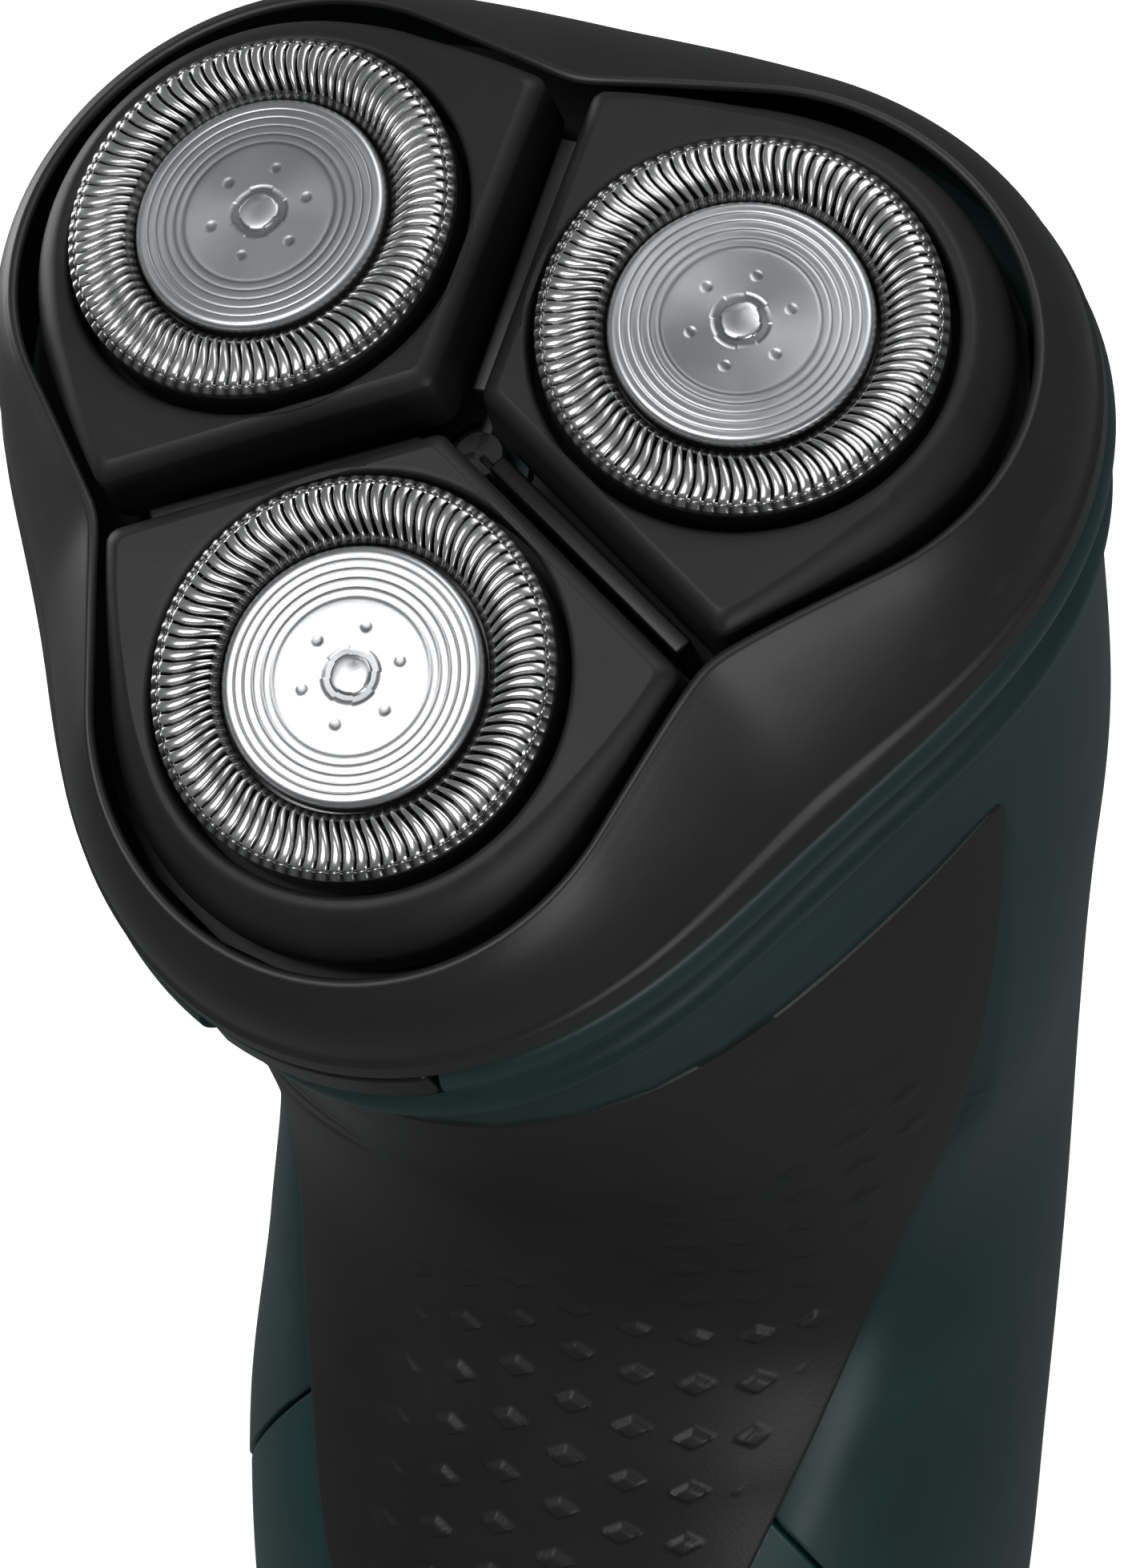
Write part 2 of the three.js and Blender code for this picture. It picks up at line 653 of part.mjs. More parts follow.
const sideGap = clearance / 28;
const rearShell = handlePatch(
  sideSeam + sideGap, whole - sideSeam - sideGap,
  (a) => archSeam(Math.min(a, whole - a)) + seamGap, () => shellTop, 0, shellWall, 10, 10, false);
add(shaver, "rear_shell", rearShell, greenPlastic);

const sleeve = handlePatch(
  0, whole, () => baseCapTop, (a) => archSeam(Math.min(a, whole - a)), 0.15, thickWall, around, 4, true);
const buttonPlace = new THREE.Vector3(0, 7.5, -126);
function alongDepth(geometry, y, z) {
  return geometry.rotateX(Math.PI / 2).translate(0, y, z);
}
const buttonOpening = alongDepth(post(6.4, -8, 8, 24), buttonPlace.y, buttonPlace.z);
const lensPlace = new THREE.Vector3(0, 8.6, -138);
const lensOpening = alongDepth(post(1.5, -8, 8, small), lensPlace.y, lensPlace.z);
add(shaver, "lower_sleeve", cut(sleeve, gripCutter, buttonOpening, lensOpening), tealPlastic);

add(shaver, "front_grip", gripPatch(-0.15, gripDepth, 0), blackRubber);

const powerButton = turned([
  [0, -7.9], [2, -7.9], [2, -1.2], [6.1, -1.2], [6.1, 1.3], [5.4, 1.9], [0, 2.2],
], 24);
add(shaver, "power_button", alongDepth(powerButton, buttonPlace.y, buttonPlace.z), blackPlastic);
const lens = alongDepth(post(1.2, -1.5, 0.6, small), lensPlace.y + 0.4, lensPlace.z);
add(shaver, "indicator_lens", lens, clearLens);

// ---------------------------------------------------------------- base

// A solid stack of handle outlines, closed top and bottom
function handleStack(places, inset) {
  const surface = (across, along) => {
    const place = THREE.MathUtils.lerp(places[0], places[1], along);
    return handlePoint(whole * across, place, inset);
  };
  const core = (across, along) => {
    const point = surface(across, along);
    const middle = new THREE.Vector3(0, sectionValue("y", 0), point.z);
    return middle.lerp(point, 0.12);
  };
  const ring = wall(surface, core, around, 2, true);
  const bottom = sectionValue("z", places[0]);
  const top = sectionValue("z", places[1]);
  return join(ring, post(8, bottom, top, small, 0, sectionValue("y", 0)));
}

const baseHeight = -faceHeight;
const socketBack = 48; // how far the charging socket stands behind the face's centre
const socketRecess = block(11.4, 7.4, 30, 0, socketBack, baseHeight);
const screwSpacing = 13;
const screwBack = 35.5;
const screws = [-1, 1].map((side) => ({ x: side * screwSpacing, name: side < 0 ? "left" : "right" }));
const screwHoles = screws.flatMap(({ x }) => [
  post(2.3, baseHeight - 2, baseHeight + 1.8, small, x, screwBack),
  post(1.2, baseHeight - 2, baseHeight + 8, small, x, screwBack),
]);
const baseCap = cut(handleStack([0, baseCapTop - 0.05], 0.15), socketRecess, ...screwHoles);
add(shaver, "base_cap", baseCap, blackPlastic);

screws.forEach(({ x, name }) => {
  const head = post(2.0, baseHeight + 0.2, baseHeight + 1.5, small);
  const shank = post(0.9, baseHeight + 1, baseHeight + 7.6, small);
  const slots = [block(2.2, 0.5, 1.2, 0, 0, baseHeight + 0.2), block(0.5, 2.2, 1.2, 0, 0, baseHeight + 0.2)];
  const screw = cut(join(head, shank), join(...slots));
  add(shaver, `base_screw_${name}`, screw.translate(x, screwBack, 0), steel);
});

// ---------------------------------------------------------------- inside the handle

const socketHeight = -139.4;
const socketBody = cut(
  block(11, 7, 12, 0, socketBack, socketHeight),
  block(8.4, 4.8, 9.6, 0, socketBack, socketHeight - 2),
);
add(shaver, "charging_socket", socketBody, blackPlastic);
[-1, 1].forEach((side) => {
  const pin = post(0.6, socketHeight - 3.6, socketHeight + 2.5, 8, side * 1.9, socketBack);
  add(shaver, `socket_pin_${side < 0 ? "left" : "right"}`, pin, brass);
});

// The chassis is a plate across the handle, with two side walls and a foot, cut round the socket
const chassisPlate = block(38, 2, 76, 0, 25, -98);
const chassisSides = [-1, 1].map((side) => block(2, 17, 60, side * 18, 33, -92));
const chassisFoot = block(34, 22, 2, 0, 34, -135);
const socketRoom = block(11.8, 9, 20, 0, socketBack, -135);
add(shaver, "chassis", cut(join(chassisPlate, ...chassisSides, chassisFoot), socketRoom), whitePlastic);

add(shaver, "circuit_board", block(24, 1.6, 60, 0, 22.6, -100), boardGreen);
add(shaver, "power_switch", block(6, 5.6, 6, 0, 18.9, buttonPlace.z), blackPlastic);

const cellRadius = 7.1;
const cellSpacing = 8.2;
const cellBack = 35.5;
const cellBottom = -118;
const cellTop = -69;
[-1, 1].forEach((side) => {
  const name = side < 0 ? "left" : "right";
  const cell = join(post(cellRadius, cellBottom, cellTop, 20), post(2.6, cellTop - 0.1, cellTop + 1, small));
  add(shaver, `battery_cell_${name}`, cell.translate(side * cellSpacing, cellBack, 0), cellBlue);
  const tab = block(5, 9, 0.4, side * cellSpacing, cellBack - 2.5, cellTop + 1.7);
  add(shaver, `battery_tab_${name}`, tab, steel);
});
add(shaver, "battery_link", block(20, 6, 0.5, 0, cellBack, cellBottom - 0.9), steel);

export default shaver;
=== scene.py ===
"""Looks of the three-head rotary shaver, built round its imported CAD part. Lengths are in
millimetres until a mesh is made; the row frame is in metres, +Z up, the front towards -Y."""
import math

import bmesh
import bpy
import numpy as np
from mathutils import Matrix, Vector


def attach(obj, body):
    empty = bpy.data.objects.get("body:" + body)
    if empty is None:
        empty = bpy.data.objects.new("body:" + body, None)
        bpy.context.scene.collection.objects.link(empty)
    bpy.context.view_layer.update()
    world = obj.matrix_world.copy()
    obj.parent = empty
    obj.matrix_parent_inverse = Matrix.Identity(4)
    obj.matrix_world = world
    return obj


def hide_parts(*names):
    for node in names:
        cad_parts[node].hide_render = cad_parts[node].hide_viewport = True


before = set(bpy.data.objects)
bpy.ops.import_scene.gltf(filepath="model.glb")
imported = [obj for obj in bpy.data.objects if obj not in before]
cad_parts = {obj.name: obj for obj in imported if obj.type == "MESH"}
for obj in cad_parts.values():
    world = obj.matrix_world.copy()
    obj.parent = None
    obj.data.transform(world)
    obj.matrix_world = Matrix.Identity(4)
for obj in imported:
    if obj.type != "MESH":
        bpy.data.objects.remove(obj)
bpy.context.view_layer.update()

# ---------------------------------------------------------------- dimensions shared with the CAD

FACE_HEIGHT = 148.0  # the shaving face's centre above the base
FACE_TILT = math.radians(34)
STAND_BACK = 21.84  # the row's origin is this far behind the face's centre

HEAD_CIRCLE = 17.1
HEAD_TILT = math.radians(5.8)  # each head leans outwards
HEADS = {"front": -90.0, "right": 30.0, "left": 150.0}  # degrees round the face
GUARD_HOLE = 7.9
GUARD_RADIUS = 11.7
DISC_RADIUS = 7.6

POD_HALF_GAP = 1.65
POD_SIDE = 20.2
POD_NOSE = 15.3
POD_FACE = -1.5
POD_DEPTH = 5.5
POD_BEVEL = 0.9
SHOULDER_WIDTH = 1.5  # a pod's nose is bevelled this much wider and deeper than its sides
SHOULDER_DEPTH = 3.3
POD_APEX = POD_HALF_GAP / math.sin(math.pi / 3) - HEAD_CIRCLE  # in the head's own frame
POD_CORNER = np.array([POD_APEX + POD_SIDE / 2, POD_SIDE * math.sin(math.pi / 3)])
# where a pod's straight flank meets its round nose, as an angle from the pod's middle line
FLANK_ANGLE = math.atan2(POD_CORNER[1], POD_CORNER[0]) - math.acos(POD_NOSE / np.hypot(*POD_CORNER))
LIP_GROWTH = 1.2  # the skirt's lip stands this far outside the pods

LOBE_MEAN = 32.4
LOBE_DEPTH = 3.6
REAR_FULLNESS = 0.6
UNIT_RIM = -15.2
COLLAR_TOP = -15.5
HINGE_BACK = 28.6
HINGE_DROP = -17.1
BUTTON_HALF_ANGLE = math.radians(11.8)

# Handle sections from the base up: y and z from the face's centre, lean in degrees, half width,
# front and back depth, and how much of the collar's lobed outline they take
SECTIONS = np.array([
    (35.5, -148.0, 0, 24.0, 24.5, 23.0, 0),
    (35.8, -142.0, 0, 26.6, 27.2, 24.8, 0),
    (36.5, -126.0, 0, 28.2, 29.8, 26.0, 0),
    (37.3, -108.0, 0, 28.4, 30.6, 26.0, 0),
    (40.2, -92.0, 3, 27.8, 30.0, 26.5, 0),
    (40.5, -76.0, 12, 27.5, 28.0, 28.0, 0),
    (35.0, -58.0, 23, 29.2, 28.5, 29.2, 0),
    (27.0, -42.0, 30, 30.4, 29.0, 29.5, 0.4),
    (17.0, -24.4, 34, 30.0, 30.0, 30.0, 0.8),
    (12.5, -18.5, 34, 30.0, 30.0, 30.0, 1),
])
SHELL_INSET = 1.6  # the shells' top stands this far inside the collar
ROUNDNESS = 2.15  # power of the handle's oval sections: 2 is an ellipse
SIDE_SEAM = math.radians(118)
# Places along the handle, counted in sections from the base
BASE_CAP_TOP = 0.9
SHELL_TOP = 8.24
GRIP_TOP = 7.7
GRIP_BOTTOM = 2.55

# ---------------------------------------------------------------- frames


def rotation(axis, angle):
    """A turn about a main axis, as a 3 by 3 matrix."""
    return np.array(Matrix.Rotation(angle, 3, axis))


FACE_TURN = rotation("X", FACE_TILT)


def handle_to_row(points):
    """From the face's centre, upright, to the row frame in metres."""
    return (np.asarray(points, float) + (0, -STAND_BACK, FACE_HEIGHT)) / 1000


def face_to_row(points):
    """From the tilted shaving face's frame to the row frame in metres."""
    return handle_to_row(np.asarray(points, float) @ FACE_TURN.T)


def head_to_row(name):
    """A function from one head's own frame to the row frame."""
    turn = rotation("Z", math.radians(HEADS[name]))
    lean = rotation("Y", HEAD_TILT)

    def place(points):
        return face_to_row((np.asarray(points, float) @ lean.T + (HEAD_CIRCLE, 0, 0)) @ turn.T)

    return place


# ---------------------------------------------------------------- mesh making


def make_object(name, vertices, faces, look, body, sharp=40, attributes=None):
    """A smooth piece with a material, riding on a body. Edges sharper than an angle stay crisp."""
    mesh = bpy.data.meshes.new(name)
    mesh.from_pydata([tuple(v) for v in vertices], [], [tuple(f) for f in faces])
    mesh.validate()
    for key, values in (attributes or {}).items():
        layer = mesh.attributes.new(key, "FLOAT", "POINT")
        layer.data.foreach_set("value", np.asarray(values, np.float32))
    obj = bpy.data.objects.new(name, mesh)
    bpy.context.scene.collection.objects.link(obj)
    mesh.shade_smooth()
    mesh.set_sharp_from_angle(angle=math.radians(sharp))
    mesh.materials.append(MATERIALS[look])
    if signed_volume(mesh) < 0:
        mesh.flip_normals()
    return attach(obj, body)


def signed_volume(mesh):
    """Six times the volume inside a closed mesh, below zero where its faces point inwards."""
    mesh.calc_loop_triangles()
    co = np.zeros(len(mesh.vertices) * 3)
    mesh.vertices.foreach_get("co", co)
    tri = np.zeros(len(mesh.loop_triangles) * 3, int)
    mesh.loop_triangles.foreach_get("vertices", tri)
    corners = co.reshape(-1, 3)[tri.reshape(-1, 3)]
    return float(np.einsum("ij,ij->i", corners[:, 0], np.cross(corners[:, 1], corners[:, 2])).sum())


def grid_faces(rows, columns, loop_rows, loop_columns, start=0):
    """Four-sided faces between the points of a grid, which may close on itself either way."""
    faces = []
    for i in range(rows if loop_rows else rows - 1):
        for j in range(columns if loop_columns else columns - 1):
            a, b = i * columns, ((i + 1) % rows) * columns
            k = (j + 1) % columns
            faces.append((start + a + j, start + a + k, start + b + k, start + b + j))
    return faces


def full_turn(columns):
    """Angles all the way round, without the last one that meets the first."""
    return np.linspace(0, 2 * math.pi, columns, endpoint=False)


def turned(radius, angle, height):
    """Points round the Z axis."""
    return np.stack(np.broadcast_arrays(radius * np.cos(angle), radius * np.sin(angle), height), -1)


def ring_mesh(grid):
    """A closed ring: each row of the grid runs round, and the rows make a closed section."""
    rows, columns = grid.shape[:2]
    return grid.reshape(-1, 3), grid_faces(rows, columns, True, True)


def lathe(profile, columns=96):
    """A closed turned shape from (radius, height) points; on the axis the ends close in a point."""
    profile = np.asarray(profile, float)
    return close_on_axis(turned(profile[:, :1], full_turn(columns), profile[:, 1:]))


def close_on_axis(grid):
    """Faces of a grid whose first and last rows are each one point on the axis."""
    rows, columns = grid.shape[:2]
    inner = grid[1:-1]
    vertices = np.concatenate([inner.reshape(-1, 3), grid[0, :1], grid[-1, :1]])
    faces = grid_faces(rows - 2, columns, False, True)
    first, last = len(vertices) - 2, len(vertices) - 1
    base = (rows - 3) * columns
    for j in range(columns):
        k = (j + 1) % columns
        faces.append((first, k, j))
        faces.append((last, base + j, base + k))
    return vertices, faces


def slab_mesh(outer, inner):
    """A closed sheet between two grids of the same size."""
    rows, columns = outer.shape[:2]
    count = rows * columns
    vertices = np.concatenate([outer.reshape(-1, 3), inner.reshape(-1, 3)])
    faces = grid_faces(rows, columns, False, False)
    faces += [f[::-1] for f in grid_faces(rows, columns, False, False, count)]
    edge = [(0, j) for j in range(columns)]
    edge += [(i, columns - 1) for i in range(1, rows)]
    edge += [(rows - 1, j) for j in range(columns - 2, -1, -1)]
    edge += [(i, 0) for i in range(rows - 2, 0, -1)]
    ids = [i * columns + j for i, j in edge]
    for n, a in enumerate(ids):
        b = ids[(n + 1) % len(ids)]
        faces.append((b, a, a + count, b + count))
    return vertices, faces


def combine(*parts):
    """Several closed meshes as one."""
    vertices, faces, start = [], [], 0
    for v, f in parts:
        vertices.append(np.asarray(v, float))
        faces += [tuple(i + start for i in face) for face in f]
        start += len(v)
    return np.concatenate(vertices), faces


def rounded_box(size, centre, bevel):
    """A box with rounded edges, as a mesh whose bevels have three steps."""
    bm = bmesh.new()
    bmesh.ops.create_cube(bm, size=1)
    bmesh.ops.scale(bm, vec=Vector(size), verts=bm.verts)
    bmesh.ops.bevel(bm, geom=list(bm.edges), offset=bevel, segments=3, profile=0.5, affect="EDGES")
    vertices = np.array([v.co for v in bm.verts])
    faces = [tuple(v.index for v in f.verts) for f in bm.faces]
    bm.free()
    return vertices + centre, faces


def smooth_profile(points, steps):
    """Catmull-Rom points through a profile."""
    points = np.asarray(points, float)
    padded = np.concatenate([points[:1], points, points[-1:]])
    out = []
    for i in range(len(points) - 1):
        p0, p1, p2, p3 = padded[i:i + 4]
        for t in np.linspace(0, 1, steps, endpoint=False):
            out.append(0.5 * (2 * p1 + (p2 - p0) * t + (2 * p0 - 5 * p1 + 4 * p2 - p3) * t * t
                              + (3 * p1 - p0 - 3 * p2 + p3) * t ** 3))
    out.append(points[-1])
    return np.array(out)


def edge_drop(distance, radius):
    """How far a rounded edge falls away at a distance from the edge."""
    d = np.clip(distance, 0, radius)
    return radius - np.sqrt(np.maximum(radius ** 2 - (radius - d) ** 2, 0))


# ---------------------------------------------------------------- outer surfaces


def lobed_radius(angle):
    """The three-lobed outline of the unit and the collar, by angle from the front."""
    return LOBE_MEAN + LOBE_DEPTH * np.cos(3 * angle) + REAR_FULLNESS * np.maximum(-np.cos(angle), 0) ** 6


def section_values(place):
    """A handle section at any place between the listed ones, on a smooth curve through them."""
    place = np.asarray(place, float)
    last = len(SECTIONS) - 1
    index = np.clip(np.floor(place).astype(int), 0, last - 1)
    t = (place - index)[..., None]
    before, start, end, after = (SECTIONS[np.clip(index + k, 0, last)] for k in (-1, 0, 1, 2))
    return ((2 * t ** 3 - 3 * t ** 2 + 1) * start + (t ** 3 - 2 * t ** 2 + t) * (end - before) / 2
            + (3 * t ** 2 - 2 * t ** 3) * end + (t ** 3 - t ** 2) * (after - start) / 2)


def handle_point(angle, place, inset=0.0):
    """Points on the handle at angles from the front and places along the sections."""
    angle, place, inset = np.broadcast_arrays(np.asarray(angle, float), place, inset)
    y, z, lean, half, front, back, lobed = np.moveaxis(section_values(place), -1, 0)
    lean = np.radians(lean)
    depth = np.where(np.cos(angle) > 0, front, back)
    across, along = np.abs(np.sin(angle) / half), np.abs(np.cos(angle) / depth)
    oval = (across ** ROUNDNESS + along ** ROUNDNESS) ** (-1 / ROUNDNESS)
    radius = oval * (1 - lobed) + (lobed_radius(angle) - SHELL_INSET) * lobed - inset
    forward = radius * np.cos(angle)
    return np.stack([radius * np.sin(angle), y - forward * np.cos(lean), z - forward * np.sin(lean)], -1)


def arch_seam(angle):
    """Place of the seam between the shells and the sleeve: an arch, highest at the front."""
    turn = np.minimum(np.abs(angle), 2 * math.pi - np.abs(angle))
    return 2 + 2.68 * np.cos(turn / 2) ** 9


def grip_half_angle(place):
    """Half the angle that the grip covers: a round lower end that widens towards the neck."""
    rise = np.clip((place - GRIP_BOTTOM) / (GRIP_TOP - GRIP_BOTTOM), 0, 1)
    side = 23 + 61 * rise ** 1.15
    round_end = np.sqrt(1 - (1 - np.minimum(rise / 0.12, 1)) ** 2)
    return np.radians(np.maximum(side * round_end, 4))


def pods_radius(angle, grow):
    """Outline of the three pods together, as a radius by angle from the front."""
    sector = 2 * math.pi / 3
    from_valley = sector / 2 - np.abs((angle + 3.5 * sector) % sector - sector / 2)
    turn = sector / 2 - np.hypot(from_valley, 0.05)  # rounds the corner between two pods
    nose = POD_NOSE + grow
    arc_end = math.atan2(nose * math.sin(FLANK_ANGLE), HEAD_CIRCLE + nose * math.cos(FLANK_ANGLE))
    sideways = HEAD_CIRCLE * np.sin(turn)
    arc = HEAD_CIRCLE * np.cos(turn) + np.sqrt(np.maximum(nose ** 2 - sideways ** 2, 0))
    straight = (nose + HEAD_CIRCLE * math.cos(FLANK_ANGLE)) / np.cos(turn - FLANK_ANGLE)
    return np.where(turn < arc_end, arc, straight)


def around_face(radius, angle, height):
    """Points round the face's middle, at angles from the front."""
    return np.stack(np.broadcast_arrays(radius * np.sin(angle), -radius * np.cos(angle), height), -1)


# ---------------------------------------------------------------- materials

GRAIN_DEPTH = 0.00003  # metres


def node_material(name):
    """A new material with its nodes and links."""
    material = bpy.data.materials.new(name)
    material.use_nodes = True
    return material, material.node_tree.nodes, material.node_tree.links


def add_noise(nodes, links, scale, detail):
    """Noise through the piece's volume. Its scale is in features per metre."""
    coordinate = nodes.new("ShaderNodeTexCoord")
    noise = nodes.new("ShaderNodeTexNoise")
    noise.inputs["Scale"].default_value = scale
    noise.inputs["Detail"].default_value = detail
    noise.inputs["Roughness"].default_value = 0.55
    links.new(coordinate.outputs["Object"], noise.inputs["Vector"])
    return noise.outputs["Fac"]


def blend_colours(nodes, links, source, low, high):
    """From one colour to another across the middle of the noise's range."""
    ramp = nodes.new("ShaderNodeValToRGB")
    for element, position, colour in zip(ramp.color_ramp.elements, (0.35, 0.65), (low, high)):
        element.position = position
        element.color = (*colour, 1)
    links.new(source, ramp.inputs["Fac"])
    return ramp.outputs["Color"]


def map_range(nodes, links, source, limits, low, high):
    """A value mapped from its own limits to the range from low to high."""
    mapped = nodes.new("ShaderNodeMapRange")
    mapped.inputs["From Min"].default_value = limits[0]
    mapped.inputs["From Max"].default_value = limits[1]
    mapped.inputs["To Min"].default_value = low
    mapped.inputs["To Max"].default_value = high
    links.new(source, mapped.inputs["Value"])
    return mapped.outputs["Result"]


def mix_in(nodes, links, share, colour, other):
    """A colour from the nodes, replaced by another colour as the share goes to 1."""
    mix = nodes.new("ShaderNodeMix")
    mix.data_type = "RGBA"
    mix.inputs["B"].default_value = (*other, 1)
    links.new(share, mix.inputs["Factor"])
    links.new(colour, mix.inputs["A"])
    return mix.outputs["Result"]


def surface(name, dark, light, rough, grain=2600, bump=0.02, metallic=0.0, coat=0.0, painted_shade_and_etch=None,
            specular=0.5, painted_edge_highlight=0.0, anisotropy=0.0):
    """A moulded or metal surface: cloudy colour, uneven gloss, fine grain, a painted highlight that makes
    sharp edges paler and, where the mesh says so, painted shade in hollows together with the disc dots'
    etched tone."""
    material, nodes, links = node_material(name)
    shader = nodes["Principled BSDF"]
    clouds = add_noise(nodes, links, 90, 5)
    fine = add_noise(nodes, links, grain, 3)
    colour = blend_colours(nodes, links, clouds, dark, light)
    # painted highlight: edges picked out by pointiness are mixed towards a paler colour
    if painted_edge_highlight:
        geometry = nodes.new("ShaderNodeNewGeometry")
        edges = map_range(nodes, links, geometry.outputs["Pointiness"], (0.52, 0.62), 0, painted_edge_highlight)
        colour = mix_in(nodes, links, edges, colour, [min(1, c * 2.2 + 0.02) for c in light])
    # painted shade: the hollows the mesh marks are mixed towards a dark colour; on the disc this also gives
    # the dots their etched tone
    if painted_shade_and_etch is not None:
        attribute = nodes.new("ShaderNodeAttribute")
        attribute.attribute_name = "painted_shade_and_etch"
        colour = mix_in(nodes, links, attribute.outputs["Fac"], colour, painted_shade_and_etch)
    links.new(colour, shader.inputs["Base Color"])
    links.new(map_range(nodes, links, clouds, (0.3, 0.7), *rough), shader.inputs["Roughness"])
    relief = nodes.new("ShaderNodeBump")
    relief.inputs["Strength"].default_value = bump
    relief.inputs["Distance"].default_value = GRAIN_DEPTH
    links.new(fine, relief.inputs["Height"])
    links.new(relief.outputs["Normal"], shader.inputs["Normal"])
    shader.inputs["Metallic"].default_value = metallic
    shader.inputs["Specular IOR Level"].default_value = specular
    shader.inputs["Coat Weight"].default_value = coat
    shader.inputs["Coat Roughness"].default_value = 0.1
    shader.inputs["Anisotropic"].default_value = anisotropy
    return material


def grey(value, tint=(1, 1, 1)):
    """A grey as red, green and blue, with an optional slight tint."""
    return tuple(value * t for t in tint)


COOL = (0.98, 1, 1.02)
WARM = (1, 0.98, 0.93)
MATERIALS = {
    # painted_edge_highlight pales each plastic's edges as a painted highlight
    "pod": surface("pod_plastic", grey(0.010), grey(0.015), (0.46, 0.56), bump=0.35, painted_edge_highlight=0.2,
                   specular=0.4),
    "skirt": surface("skirt_plastic", grey(0.011), grey(0.016), (0.4, 0.48), bump=0.25, painted_edge_highlight=0.15),
    "rail": surface("rail_plastic", grey(0.006), grey(0.009), (0.35, 0.45), bump=0.25),
    "rubber": surface("grip_rubber", grey(0.011), grey(0.016), (0.42, 0.5), grain=3800, bump=0.45,
                      specular=0.42),
    "green": surface("green_plastic", (0.010, 0.036, 0.032), (0.014, 0.047, 0.042), (0.36, 0.44),
                     bump=0.1, specular=0.36, painted_edge_highlight=0.1),
    "teal": surface("teal_plastic", (0.004, 0.034, 0.034), (0.006, 0.044, 0.043), (0.34, 0.42),
                    bump=0.08, specular=0.36, painted_edge_highlight=0.1),
    "button": surface("gloss_black", grey(0.005), grey(0.008), (0.3, 0.38), bump=0.05, specular=0.35),
    # the guard's and the disc's last colours are painted shade for their hollows
    "guard": surface("guard_steel", grey(0.72), grey(0.82), (0.22, 0.3), grain=5200, bump=0.1,
                     metallic=1.0, painted_shade_and_etch=(0.02, 0.02, 0.02)),
    "disc": surface("disc_steel", grey(0.62, COOL), grey(0.72, COOL), (0.3, 0.38), grain=6000,
                    bump=0.12, metallic=1.0, painted_shade_and_etch=(0.10, 0.10, 0.105), anisotropy=0.4),
    "steel": surface("plain_steel", grey(0.45), grey(0.6), (0.28, 0.4), metallic=1.0, bump=0.15),
    "white": surface("white_nylon", grey(0.6, WARM), grey(0.7, WARM), (0.4, 0.5), bump=0.15),
    "brass": surface("pinion_brass", (0.55, 0.38, 0.14), (0.68, 0.48, 0.2), (0.25, 0.38),
                     metallic=1.0, bump=0.1),
    "board": surface("solder_mask", (0.008, 0.09, 0.035), (0.015, 0.13, 0.05), (0.3, 0.42),
                     grain=1500, bump=0.3),
    "cell": surface("cell_sleeve", (0.02, 0.06, 0.2), (0.03, 0.08, 0.26), (0.25, 0.35), bump=0.08),
    "lens": surface("lens_plastic", (0.35, 0.6, 0.38), (0.45, 0.72, 0.48), (0.12, 0.18), bump=0.03,
                    coat=0.4),
}

# ---------------------------------------------------------------- shaving heads

RIBS = 90
RIB_ROOF = 0.07  # how far a rib's crown stands over its sides
SLOT_DEPTH = 0.8
SLOT_INNER = 8.3
SLOT_OUTER = 11.15
INNER_BAND = 8.26  # the notched edge round the hole ends here
GUARD_DEPTH = 3.4
GUARD_WALL = 1.4  # from the plane of the heads down to the underside of the top


